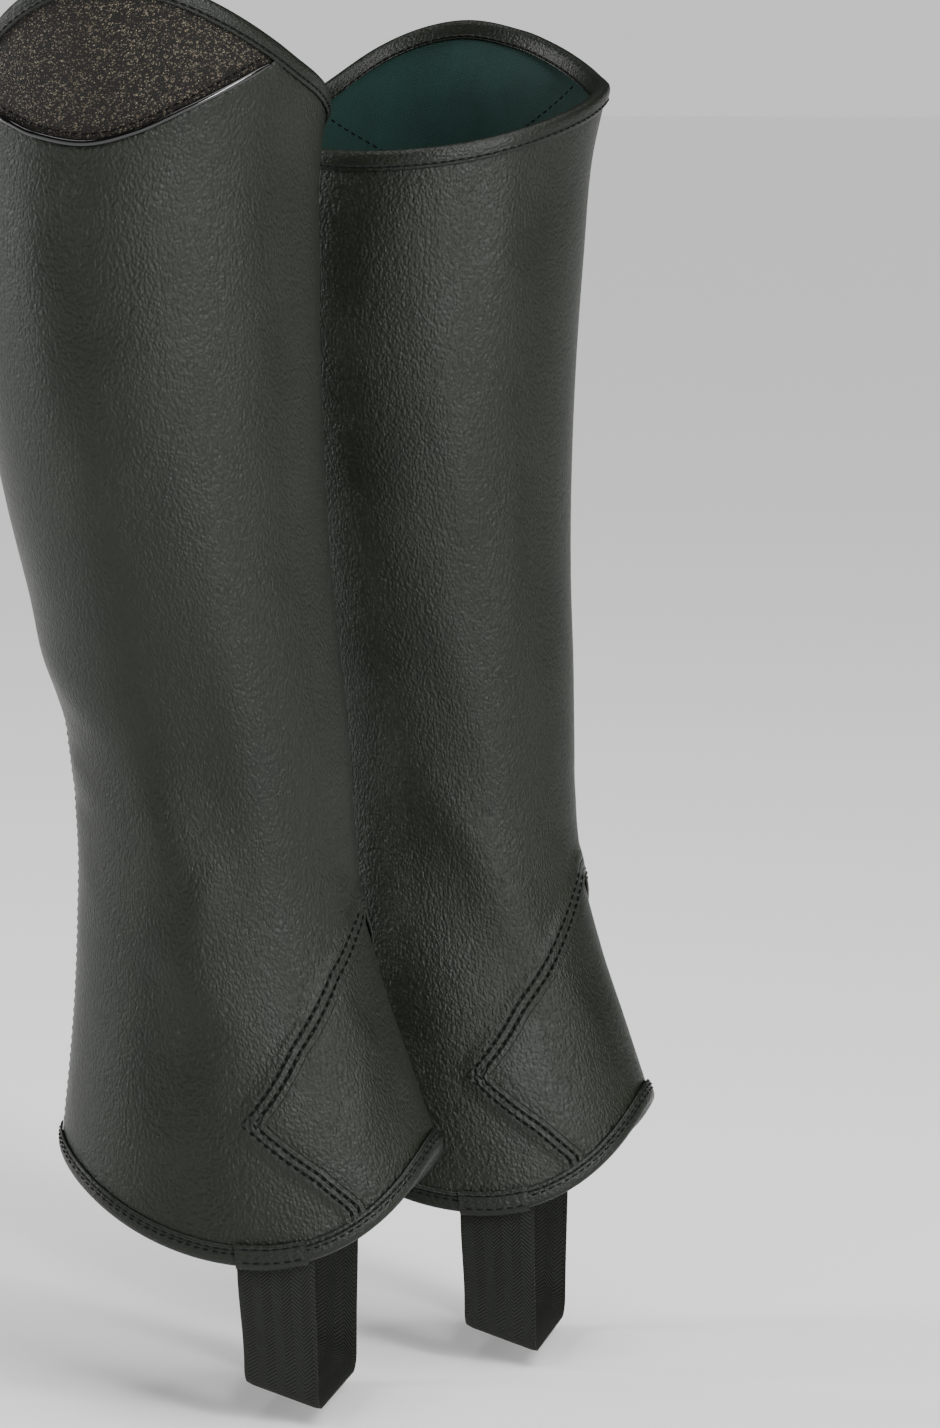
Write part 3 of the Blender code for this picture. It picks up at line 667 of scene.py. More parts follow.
def grid_quads(columns: int, kept: np.ndarray) -> list[tuple[int, ...]]:
    """Quads over the kept cells of a grid of points.

    Args:
        columns: Points in a row.
        kept: Which cells are kept.

    Returns:
        The quads, as numbers of points from the grid's first.
    """
    corners = (0, 1, 1 + columns, columns)
    cells = zip(*np.nonzero(kept))
    return [tuple(int(i) * columns + int(j) + corner for corner in corners) for i, j in cells]


def open_sides(quads: Sequence[tuple[int, ...]]) -> list[tuple[int, int]]:
    """The sides of quads that no neighbour shares.

    Args:
        quads: The quads.

    Returns:
        Each open side as its two points, in the quad's own direction.
    """
    sides: dict[tuple[int, int], None] = {}
    for quad in quads:
        for one, other in zip(quad, quad[1:] + quad[:1]):
            if (other, one) in sides:
                del sides[(other, one)]
            else:
                sides[(one, other)] = None
    return list(sides)


def close_wall(parts: MeshParts, quads: Sequence[tuple[int, ...]], layers: Sequence[int]) -> None:
    """Closes layers of one grid into a wall, with faces on the outer two and sides between.

    Args:
        parts: Where the faces go.
        quads: The grid's quads.
        layers: Number of each layer's first point, from the outer face in.
    """
    for quad in quads:
        parts.faces.append(tuple(layers[0] + k for k in quad))
        parts.faces.append(tuple(layers[-1] + k for k in reversed(quad)))
    for one, other in open_sides(quads):
        for over, under in zip(layers, layers[1:]):
            parts.faces.append((over + other, over + one, under + one, under + other))


def tube(
    parts: MeshParts, rings: np.ndarray, pattern: np.ndarray | None = None, edges: np.ndarray | None = None
) -> None:
    """Joins closed rings into a capped tube.

    Args:
        parts: Where the tube goes.
        rings: Points shaped rings by points by 3.
        pattern: Pattern values of the same shape, if a finish reads them.
        edges: Edge distances of the same shape, if a finish reads them.
    """
    total, count = rings.shape[:2]
    start = parts.add(rings, pattern, edges)
    for i in range(total - 1):
        a, b = start + i * count, start + (i + 1) * count
        for j in range(count):
            k = (j + 1) % count
            parts.faces.append((a + j, a + k, b + k, b + j))
    parts.faces.append(tuple(start + j for j in reversed(range(count))))
    parts.faces.append(tuple(start + (total - 1) * count + j for j in range(count)))


@dataclass(frozen=True)
class Stitching:
    """A row of lock stitches: short raised lengths of thread that dip into the cloth at both ends."""

    length: float = 2.1
    gap: float = 1.0
    radius: float = 0.27
    sides: int = 6

    # share of the stitch, share of the thread's radius, rise over the cloth
    profile: tuple[tuple[float, float, float], ...] = (
        (0.0, 0.35, -0.16), (0.12, 0.8, 0.04), (0.36, 1.0, 0.12), (0.64, 1.0, 0.12), (0.88, 0.8, 0.04),
        (1.0, 0.35, -0.16),
    )

    def sew(self, parts: MeshParts, line: np.ndarray, normal: np.ndarray) -> None:
        """Adds stitches along a line.

        Args:
            parts: Where the stitches go.
            line: Points on the cloth, in metres.
            normal: The cloth's outward normal at each.
        """
        runs = np.linalg.norm(np.diff(line, axis=0), axis=1)
        travelled = np.concatenate(([0.0], np.cumsum(runs))) / MM
        count = int((travelled[-1] - self.gap) // (self.length + self.gap))
        if count < 1:
            return
        pitch = travelled[-1] / count
        shares, radii, rises = np.array(self.profile).T
        starts = np.arange(count) * pitch + self.gap / 2
        where = starts[:, None] + shares * (pitch - self.gap)
        points = np.stack([np.interp(where, travelled, line[:, k]) for k in range(3)], -1)
        ups = np.stack([np.interp(where, travelled, normal[:, k]) for k in range(3)], -1)
        ups /= np.linalg.norm(ups, axis=-1, keepdims=True)
        ahead = np.gradient(points, axis=1)
        ahead /= np.linalg.norm(ahead, axis=-1, keepdims=True)
        across = np.cross(ahead, ups)
        turns = np.linspace(0, 2 * np.pi, self.sides, endpoint=False)[None, None, :, None]
        middle = points + ups * (rises * MM)[None, :, None]
        spokes = across[:, :, None, :] * np.cos(turns) + ups[:, :, None, :] * np.sin(turns)
        thickness = (radii * self.radius * MM)[None, :, None, None]
        for rings in middle[:, :, None, :] + spokes * thickness:
            tube(parts, rings)


def surface_line(
    form: LegForm, path: SeamPath, offset: float, step: float = 0.8
) -> tuple[np.ndarray, np.ndarray]:
    """Lays a pattern line on the form, with the outward normals along it.

    Args:
        form: The form.
        path: The line.
        offset: How far out it lies.
        step: Millimetres between the points it is read at.

    Returns:
        Points in metres, and unit normals.
    """
    per = form.per_degree(path.angle, path.height)
    run = np.hypot(np.diff(path.angle) * (per[1:] + per[:-1]) / 2, np.diff(path.height))
    travelled = np.concatenate(([0.0], np.cumsum(run)))
    where = np.linspace(0, travelled[-1], max(3, int(travelled[-1] / step)))
    angle, height = np.interp(where, travelled, path.angle), np.interp(where, travelled, path.height)
    line = form.points(angle, height, offset)
    normal = form.points(angle, height, offset + 1.0) - line
    return line, normal / np.linalg.norm(normal, axis=1, keepdims=True)


class NodeKind(Enum):
    """Shader nodes that the finishes use."""

    ATTRIBUTE = "ShaderNodeAttribute"
    BUMP = "ShaderNodeBump"
    CELLS = "ShaderNodeTexVoronoi"
    COORDINATES = "ShaderNodeTexCoord"
    MAPPING = "ShaderNodeMapping"
    MATH = "ShaderNodeMath"
    MIX = "ShaderNodeMix"
    NOISE = "ShaderNodeTexNoise"
    RANGE = "ShaderNodeMapRange"
    SPLIT = "ShaderNodeSeparateXYZ"


def feed(tree: bpy.types.NodeTree, node: bpy.types.Node, inputs: dict[int | str, object]) -> None:
    """Links sockets to a node's inputs, and sets plain values on them.

    Args:
        tree: The tree that holds the node.
        node: The node.
        inputs: A socket or a plain value for each input, by name or number.
    """
    for name, value in inputs.items():
        if isinstance(value, bpy.types.NodeSocket):
            tree.links.new(value, node.inputs[name])
        else:
            node.inputs[name].default_value = value


def add_node(
    tree: bpy.types.NodeTree,
    kind: NodeKind,
    inputs: dict[int | str, object] | None = None,
    **settings: object,
) -> bpy.types.Node:
    """Adds a shader node with its settings and links.

    Args:
        tree: The tree that it goes into.
        kind: Which node.
        inputs: A socket or a plain value for each input, by name or number.
        settings: The node's own properties.

    Returns:
        The node.
    """
    node = tree.nodes.new(kind.value)
    for name, value in settings.items():
        setattr(node, name, value)
    feed(tree, node, inputs or {})
    return node


@dataclass(frozen=True)
class Groove:
    """A pressed line beside an edge, where a row of stitches pulls the cloth in."""

    axis: int
    distance: float
    half_width: float = 0.7


class Finish:
    """What the finishes share: a named material, and its patterns in millimetres."""

    name: str = "finish"

    def start(self) -> tuple[bpy.types.Material, bpy.types.NodeTree, bpy.types.Node]:
        """A new material with its tree and its shader."""
        made = bpy.data.materials.new(self.name)
        made.use_nodes = True
        return made, made.node_tree, made.node_tree.nodes["Principled BSDF"]

    def pattern(self, tree: bpy.types.NodeTree, *stretch: float) -> bpy.types.NodeSocket:
        """The pattern's millimetres, divided by a stretch.

        Args:
            tree: The material's tree.
            stretch: Millimetres to a unit, one for all axes or one for each.

        Returns:
            The place in the pattern.
        """
        source = add_node(tree, NodeKind.ATTRIBUTE, attribute_name="pattern_mm").outputs["Vector"]
        round_up = stretch if len(stretch) == 3 else stretch * 3
        scale = tuple(1.0 / s for s in round_up)
        return add_node(tree, NodeKind.MAPPING, {"Vector": source, "Scale": scale}).outputs["Vector"]

    def grooves(self, tree: bpy.types.NodeTree, rows: Iterable[Groove]) -> bpy.types.NodeSocket | None:
        """The pressed stitch lines, 1 at the middle of each.

        Args:
            tree: The material's tree.
            rows: The lines.

        Returns:
            How far each place is pressed, or nothing where there are no lines.
        """
        edges = add_node(tree, NodeKind.ATTRIBUTE, attribute_name="edge_mm").outputs["Vector"]
        split = add_node(tree, NodeKind.SPLIT, {0: edges})
        total: bpy.types.NodeSocket | None = None
        for row in rows:
            past = add_node(
                tree, NodeKind.MATH, {0: split.outputs[row.axis], 1: row.distance}, operation="SUBTRACT"
            ).outputs[0]
            away = add_node(tree, NodeKind.MATH, {0: past}, operation="ABSOLUTE").outputs[0]
            press = add_node(
                tree,
                NodeKind.RANGE,
                {"Value": away, "From Min": 0.0, "From Max": row.half_width, "To Min": 1.0, "To Max": 0.0},
                interpolation_type="SMOOTHSTEP",
            ).outputs["Result"]
            if total is None:
                total = press
            else:
                total = add_node(tree, NodeKind.MATH, {0: total, 1: press}, operation="MAXIMUM").outputs[0]
        return total


@dataclass(frozen=True)
class GrainedLeather(Finish):
    """Polyurethane-coated split leather, rolled with a fine grain and a satin coat.

    It gives soft broad lights broken up by small pebbles, which draw out into upright wrinkles where it bends.
    """

    name: str = "grained synthetic leather"
    dark: str = "0B0F09"
    light: str = "191F14"
    # The near-black of the painted shade in the pressed stitch lines.
    painted_groove_shade_tone: str = "0A0B0A"
    grain_mm: float = 0.95
    grain_upright: float = 1.35
    wrinkle_mm: float = 0.85
    wrinkle_upright: float = 2.8
    patch_mm: tuple[float, float, float] = (22.0, 46.0, 22.0)
    grain_depth_mm: float = 0.22
    wrinkle_depth_mm: float = 0.50
    groove_depth_mm: float = 0.38
    roughness: tuple[float, float] = (0.34, 0.46)
    specular: float = 0.24
    grooves_at: tuple[Groove, ...] = ()

    def build(self) -> bpy.types.Material:
        """Makes the material: pebbles over wrinkles, deeper in worn patches, and stitch lines pressed in and darkened
        with painted shade.
        """
        made, tree, shader = self.start()
        pebbles = add_node(
            tree,
            NodeKind.CELLS,
            {
                "Vector": self.pattern(tree, self.grain_mm, self.grain_mm * self.grain_upright, self.grain_mm),
                "Scale": 1.0, "Smoothness": 0.25, "Randomness": 1.0,
            },
            feature="SMOOTH_F1",
        ).outputs["Distance"]
        wrinkles = add_node(
            tree,
            NodeKind.NOISE,
            {
                "Vector": self.pattern(
                    tree, self.wrinkle_mm, self.wrinkle_mm * self.wrinkle_upright, self.wrinkle_mm
                ),
                "Scale": 1.0, "Detail": 4.0, "Roughness": 0.6, "Distortion": 0.4,
            },
        ).outputs[0]
        patches = add_node(
            tree,
            NodeKind.NOISE,
            {"Vector": self.pattern(tree, *self.patch_mm), "Scale": 1.0, "Detail": 3.0, "Roughness": 0.55},
        ).outputs[0]
        worked = add_node(
            tree, NodeKind.RANGE, {"Value": patches, "From Min": 0.35, "From Max": 0.7, "To Min": 0.4, "To Max": 1.0}
        ).outputs["Result"]
        deep = add_node(tree, NodeKind.MATH, {0: wrinkles, 1: worked}, operation="MULTIPLY").outputs[0]
        normal = add_node(
            tree, NodeKind.BUMP, {"Height": deep, "Strength": 1.0, "Distance": self.wrinkle_depth_mm * MM}
        ).outputs["Normal"]
        normal = add_node(
            tree,
            NodeKind.BUMP,
            {"Height": pebbles, "Strength": 1.0, "Distance": self.grain_depth_mm * MM, "Normal": normal},
            invert=True,
        ).outputs["Normal"]
        tone = add_node(
            tree, NodeKind.MIX, {0: patches, 6: linear(self.dark), 7: linear(self.light)}, data_type="RGBA"
        ).outputs[2]
        if self.grooves_at:
            pressed = self.grooves(tree, self.grooves_at)
            normal = add_node(
                tree,
                NodeKind.BUMP,
                {"Height": pressed, "Strength": 1.0, "Distance": self.groove_depth_mm * MM, "Normal": normal},
                invert=True,
            ).outputs["Normal"]
            # Painted shade: the pressed stitch lines are darkened towards a near-black tone, on top of their bump.
            painted_groove_shade = add_node(tree, NodeKind.MATH, {0: pressed, 1: 0.4}, operation="MULTIPLY").outputs[0]
            tone = add_node(
                tree, NodeKind.MIX, {0: painted_groove_shade, 6: tone, 7: linear(self.painted_groove_shade_tone)}, data_type="RGBA"
            ).outputs[2]
        low, high = self.roughness
        rough = add_node(
            tree, NodeKind.RANGE, {"Value": wrinkles, "From Min": 0.3, "From Max": 0.7, "To Min": low, "To Max": high}
        ).outputs["Result"]
        feed(tree, shader, {
            "Base Color": tone, "Roughness": rough, "Normal": normal, "Specular IOR Level": self.specular
        })
        return made


@dataclass(frozen=True)
class SpeckledFabric(Finish):
    """Knitted fabric with a metallised yarn: brown-black, with pale flecks under half a millimetre.

    The flecks are drawn at 0.42 mm, a little coarser than real ones, so that they show.
    """

    name: str = "speckled metallic-yarn fabric"
    ground: str = "13110E"
    fleck: str = "5A5346"
    fleck_mm: float = 0.42
    flecked: float = 0.26
    hill_mm: float = 0.25

    def build(self) -> bpy.types.Material:
        """Makes the material: a chance for each cell to be a fleck, and how bright it is."""
        made, tree, shader = self.start()
        where = self.pattern(tree, self.fleck_mm)
        cells = add_node(tree, NodeKind.CELLS, {"Vector": where, "Scale": 1.0}, feature="F1")
        chance = add_node(tree, NodeKind.SPLIT, {0: cells.outputs["Color"]})
        patch = add_node(tree, NodeKind.NOISE, {"Vector": where, "Scale": 0.12, "Detail": 3.0}).outputs[0]
        limits = {0: patch, 1: self.flecked * 2}
        limit = add_node(tree, NodeKind.MATH, limits, operation="MULTIPLY").outputs[0]
        chances = {0: chance.outputs[0], 1: limit}
        bright = add_node(tree, NodeKind.MATH, chances, operation="LESS_THAN").outputs[0]
        strengths = {0: bright, 1: chance.outputs[1]}
        strength = add_node(tree, NodeKind.MATH, strengths, operation="MULTIPLY").outputs[0]
        tone = add_node(
            tree, NodeKind.MIX, {0: strength, 6: linear(self.ground), 7: linear(self.fleck)}, data_type="RGBA"
        ).outputs[2]
        metal = add_node(tree, NodeKind.MATH, {0: bright, 1: 0.5}, operation="MULTIPLY").outputs[0]
        rough = add_node(
            tree, NodeKind.RANGE, {"Value": bright, "From Min": 0.0, "From Max": 1.0, "To Min": 0.85, "To Max": 0.4}
        ).outputs["Result"]
        normal = add_node(
            tree,
            NodeKind.BUMP,
            {"Height": cells.outputs["Distance"], "Strength": 1.0, "Distance": self.hill_mm * MM},
            invert=True,
        ).outputs["Normal"]
        feed(tree, shader, {
            "Base Color": tone, "Metallic": metal, "Roughness": rough, "Normal": normal, "Specular IOR Level": 0.3
        })
        return made


@dataclass(frozen=True)
class PatentPiping(Finish):
    """Cord covered in polyurethane patent: black and wet-looking, with one sharp light along it."""

    name: str = "black patent piping"
    wave_mm: float = 6.0
    wave_depth_mm: float = 0.12

    def build(self) -> bpy.types.Material:
        """Makes the material: a clear coat over black, with the cord's faint waves."""
        made, tree, shader = self.start()
        waves = add_node(
            tree, NodeKind.NOISE, {"Vector": self.pattern(tree, self.wave_mm), "Scale": 1.0, "Detail": 2.0}
        ).outputs[0]
        normal = add_node(
            tree, NodeKind.BUMP, {"Height": waves, "Strength": 1.0, "Distance": self.wave_depth_mm * MM}
        ).outputs["Normal"]
        feed(tree, shader, {
            "Base Color": linear("050505"), "Roughness": 0.11, "Specular IOR Level": 0.4, "Coat Weight": 0.5,
            "Coat Roughness": 0.05, "Normal": normal,
        })
        return made


@dataclass(frozen=True)
class LiningCloth(Finish):
    """Brushed polyester lining in dark green: matt, with a fine plain weave and faint nap."""

    name: str = "brushed polyester lining"
    ground: str = "0F2320"
    nap: str = "17322D"
    thread_mm: float = 0.9
    nap_mm: tuple[float, float, float] = (9.0, 14.0, 9.0)
    weave_depth_mm: float = 0.08

    def build(self) -> bpy.types.Material:
        """Makes the material: threads both ways as crossed waves, and a nap in two greens."""
        made, tree, shader = self.start()
        where = add_node(tree, NodeKind.SPLIT, {0: self.pattern(tree, self.thread_mm)})
        threads = []
        for axis in (0, 1):
            turn = add_node(
                tree, NodeKind.MATH, {0: where.outputs[axis], 1: 2 * math.pi}, operation="MULTIPLY"
            ).outputs[0]
            threads.append(add_node(tree, NodeKind.MATH, {0: turn}, operation="SINE").outputs[0])
        weave = add_node(tree, NodeKind.MATH, {0: threads[0], 1: threads[1]}, operation="MULTIPLY").outputs[0]
        normal = add_node(
            tree, NodeKind.BUMP, {"Height": weave, "Strength": 1.0, "Distance": self.weave_depth_mm * MM}
        ).outputs["Normal"]
        nap = add_node(
            tree,
            NodeKind.NOISE,
            {"Vector": self.pattern(tree, *self.nap_mm), "Scale": 1.0, "Detail": 5.0, "Roughness": 0.65},
        ).outputs[0]
        tone = add_node(
            tree, NodeKind.MIX, {0: nap, 6: linear(self.ground), 7: linear(self.nap)}, data_type="RGBA"
        ).outputs[2]
        feed(tree, shader, {
            "Base Color": tone, "Normal": normal, "Roughness": 0.9, "Sheen Weight": 0.05, "Sheen Roughness": 0.5,
            "Specular IOR Level": 0.2,
        })
        return made


@dataclass(frozen=True)
class WovenElastic(Finish):
    """Woven elastic: black, with a herringbone rib that breaks the light into small slanting dashes, helped by a
    painted highlight on the rib crowns.
    """

    name: str = "woven herringbone elastic"
    ground: str = "070807"
    # The rib crowns' colour: a painted highlight over the black.
    crown: str = "23261F"
    rib_mm: float = 1.3
    bone_mm: float = 3.2
    rib_depth_mm: float = 0.22

    def build(self) -> bpy.types.Material:
        """Makes the material: ribs up the strap, slanted one way and the other across it, with painted highlight on
        their crowns and painted shade between them.
        """
        made, tree, shader = self.start()
        where = add_node(tree, NodeKind.SPLIT, {0: self.pattern(tree, 1.0)})
        bones = add_node(
            tree, NodeKind.MATH, {0: where.outputs[0], 1: self.bone_mm}, operation="PINGPONG"
        ).outputs[0]
        slanted = add_node(tree, NodeKind.MATH, {0: where.outputs[1], 1: bones}, operation="ADD").outputs[0]
        turn = add_node(
            tree, NodeKind.MATH, {0: slanted, 1: 2 * math.pi / self.rib_mm}, operation="MULTIPLY"
        ).outputs[0]
        ribs = add_node(tree, NodeKind.MATH, {0: turn}, operation="SINE").outputs[0]
        swing = {"Value": ribs, "From Min": -1.0, "From Max": 1.0}
        share = add_node(tree, NodeKind.RANGE, swing).outputs["Result"]
        # Painted light: the tone follows the ribs' height, lighter on the crowns as painted highlight and darker
        # between them as painted shade.
        tone = add_node(
            tree, NodeKind.MIX, {0: share, 6: linear(self.ground), 7: linear(self.crown)}, data_type="RGBA"
        ).outputs[2]
        normal = add_node(
            tree, NodeKind.BUMP, {"Height": ribs, "Strength": 1.0, "Distance": self.rib_depth_mm * MM}
        ).outputs["Normal"]
        looks = {"Base Color": tone, "Normal": normal, "Roughness": 0.8, "Specular IOR Level": 0.25}
        feed(tree, shader, looks)
        return made


@dataclass(frozen=True)
class WovenTape(Finish):
    """Polyester zip tape: black, close upright ribs, matt."""

    name: str = "woven polyester zip tape"
    colour: str = "161715"
    rib_mm: float = 0.8
    rib_depth_mm: float = 0.1

    def build(self) -> bpy.types.Material:
        """Makes the material: one wave for each rib."""
        made, tree, shader = self.start()
        where = add_node(tree, NodeKind.SPLIT, {0: self.pattern(tree, self.rib_mm)})
        turns = {0: where.outputs[0], 1: 2 * math.pi}
        turn = add_node(tree, NodeKind.MATH, turns, operation="MULTIPLY").outputs[0]
        ribs = add_node(tree, NodeKind.MATH, {0: turn}, operation="SINE").outputs[0]
        normal = add_node(
            tree, NodeKind.BUMP, {"Height": ribs, "Strength": 1.0, "Distance": self.rib_depth_mm * MM}
        ).outputs["Normal"]
        feed(tree, shader, {"Base Color": linear(self.colour), "Normal": normal, "Roughness": 0.88})
        return made


@dataclass(frozen=True)
class PlainFinish(Finish):
    """A finish of one tone with a faint surface noise: nylon coil, thread and plated zinc."""

    name: str = "nylon coil"
    colour: str = "101110"
    metallic: float = 0.0
    roughness: float = 0.4
    noise_mm: float = 0.6
    depth_mm: float = 0.02
    specular: float = 0.5

    def build(self) -> bpy.types.Material:
        """Makes the material: the noise moves its surface and its roughness a little."""
        made, tree, shader = self.start()
        place = add_node(tree, NodeKind.COORDINATES).outputs["Object"]
        noise = add_node(
            tree, NodeKind.NOISE, {"Vector": place, "Scale": 1.0 / (self.noise_mm * MM), "Detail": 3.0}
        ).outputs[0]
        normal = add_node(
            tree, NodeKind.BUMP, {"Height": noise, "Strength": 1.0, "Distance": self.depth_mm * MM}
        ).outputs["Normal"]
        smoother, rougher = self.roughness * 0.8, self.roughness * 1.2
        rough = add_node(
            tree,
            NodeKind.RANGE,
            {"Value": noise, "From Min": 0.3, "From Max": 0.7, "To Min": smoother, "To Max": rougher},
        ).outputs["Result"]
        feed(tree, shader, {
            "Base Color": linear(self.colour), "Metallic": self.metallic, "Roughness": rough, "Normal": normal,
            "Specular IOR Level": self.specular,
        })
        return made


# How far in from an edge the stitch rows run: two along the ankle panel's seam, and one along each other edge.
PANEL_ROWS = (2.6, 5.4)
ZIP_ROW = 2.4
TRIM_ROW = 1.4
TAB_ROW = 2.2

# Edge distances: axis 0 is the ankle panel's seam, 1 the zip's edge, 2 the cut edge.
WRAP_GROOVES = (*(Groove(0, row) for row in PANEL_ROWS), Groove(1, ZIP_ROW))
TRIM_GROOVES = (Groove(2, TRIM_ROW, 0.5),)
TAB_GROOVES = (Groove(2, TAB_ROW),)


@dataclass(frozen=True)
class Finishes:
    """Every finish of the pair, each made once."""

    leather: bpy.types.Material
    panel: bpy.types.Material
    binding: bpy.types.Material
    tab: bpy.types.Material
    insert: bpy.types.Material
    patent: bpy.types.Material
    lining: bpy.types.Material
    elastic: bpy.types.Material
    tape: bpy.types.Material
    coil: bpy.types.Material
    zinc: bpy.types.Material
    thread: bpy.types.Material


def make_finishes() -> Finishes:
    """Makes the finishes."""
    return Finishes(
        leather=GrainedLeather(grooves_at=WRAP_GROOVES).build(),
        panel=GrainedLeather(name="grained synthetic leather, ankle panel").build(),
        binding=GrainedLeather(
            name="thin grained binding leather", dark="0C0F0A", light="171B13", grain_mm=0.85, wrinkle_mm=0.8,
            wrinkle_depth_mm=0.35, grain_depth_mm=0.16, grooves_at=TRIM_GROOVES,
        ).build(),
        tab=GrainedLeather(
            name="grained synthetic leather, snap tab", wrinkle_depth_mm=0.30, grooves_at=TAB_GROOVES
        ).build(),
        insert=SpeckledFabric().build(),
        patent=PatentPiping().build(),
        lining=LiningCloth().build(),
        elastic=WovenElastic().build(),
        tape=WovenTape().build(),
        coil=PlainFinish().build(),
        zinc=PlainFinish("gunmetal-plated zinc", "6A6C70", 1.0, 0.3, 0.5, 0.01).build(),
        thread=PlainFinish("black polyester thread", "030403", 0.0, 0.7, 0.3, 0.03, 0.12).build(),
    )


@dataclass
class Chap:
    """One half chap: its form, its pattern and the finishes that its sub-assemblies share."""

    leg: Leg
    finishes: Finishes
    form: LegForm = field(init=False)
    pattern: Pattern = field(init=False)

    def __post_init__(self) -> None:
        """Makes the form and the pattern."""
        self.form = LegForm(self.leg)
        self.pattern = Pattern(self.form)

    def name(self, piece: str) -> str:
        """A piece's full name on this side."""
        return f"{self.leg.side.value}_{piece}"

    def finish_piece(
        self,
        made: bpy.types.Object,
        material: bpy.types.Material,
        slot: Slot,
        nodes: Sequence[str] = (),
        body: str = "chaps",
    ) -> bpy.types.Object:
        """Gives a piece its material and body, and hides the nodes that it stands for.

        Args:
            made: The piece.
            material: Its material.
            slot: The record's material slot; not used.
            nodes: Names of the nodes that it replaces, without the side.
            body: The body it rides on.

        Returns:
            The piece.
        """
        made.data.materials.append(material)
        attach(made, body)
        if nodes:
            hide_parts(*(self.name(node) for node in nodes))
        log.info("built %s: %d faces", made.name, len(made.data.polygons))
        return made


def shell(
    chap: Chap,
    name: str,
    angle: np.ndarray,
    height: np.ndarray,
    inner: np.ndarray | float,
    outer: np.ndarray | float,
    kept: np.ndarray | None = None,
    edges: np.ndarray | None = None,
    rounding: float = 0.35,
) -> bpy.types.Object:
    """A thin cloth shell over grid cells, with rounded cut edges.

    Args:
        chap: The chap it belongs to.
        name: The piece's full name.
        angle: Angles of the grid's points.
        height: Heights of the grid's points.
        inner: Offset of its inner face.
        outer: Offset of its outer face.
        kept: Which cells it covers, all where left out.
        edges: Distances from its edges, for stitch grooves.
        rounding: How far the two faces stop short of the cut edge.

    Returns:
        The object.
    """
    form = chap.form
    rows, columns = angle.shape
    if kept is None:
        kept = np.ones((rows - 1, columns - 1), bool)
    inner, outer = np.broadcast_to(inner, angle.shape), np.broadcast_to(outer, angle.shape)
    per = form.per_degree(angle, height)
    quads = grid_quads(columns, kept)
    pull = np.zeros((rows, columns, 2))
    for side in open_sides(quads):
        one, other = (divmod(point, columns) for point in side)
        run = np.array(((angle[other] - angle[one]) * per[one], height[other] - height[one]))
        run /= max(np.linalg.norm(run), 1e-9)
        for corner in (one, other):
            pull[corner] += (-run[1], run[0])
    length = np.linalg.norm(pull, axis=-1, keepdims=True)
    pull = np.divide(pull, length, out=np.zeros_like(pull), where=length > 1e-6)
    moved = angle + pull[..., 0] * rounding / per, height + pull[..., 1] * rounding
    parts = MeshParts()
    grain = np.stack((angle * math.radians(1.0) * GRAIN_RADIUS, height, np.zeros(angle.shape)), -1)
    outside = parts.add(form.points(*moved, outer), grain, edges)
    inside = parts.add(form.points(*moved, inner), grain, edges)
    middle = parts.add(form.points(angle, height, (inner + outer) / 2), grain, edges)
    close_wall(parts, quads, (outside, middle, inside))
    made = parts.build(name, flip=chap.leg.sign < 0)
    drop_loose_points(made.data)
    return made


def drop_loose_points(mesh: bpy.types.Mesh) -> None:
    """Removes the points that no face uses.

    Args:
        mesh: The mesh.
    """
    used = np.zeros(len(mesh.vertices), bool)
    corners = np.empty(len(mesh.loops), np.int32)
    mesh.loops.foreach_get("vertex_index", corners)
    used[corners] = True
    if used.all():
        return
    shape = bmesh.new()
    shape.from_mesh(mesh)
    shape.verts.ensure_lookup_table()
    bmesh.ops.delete(shape, geom=[shape.verts[i] for i in np.nonzero(~used)[0]], context="VERTS")
    shape.to_mesh(mesh)
    shape.free()


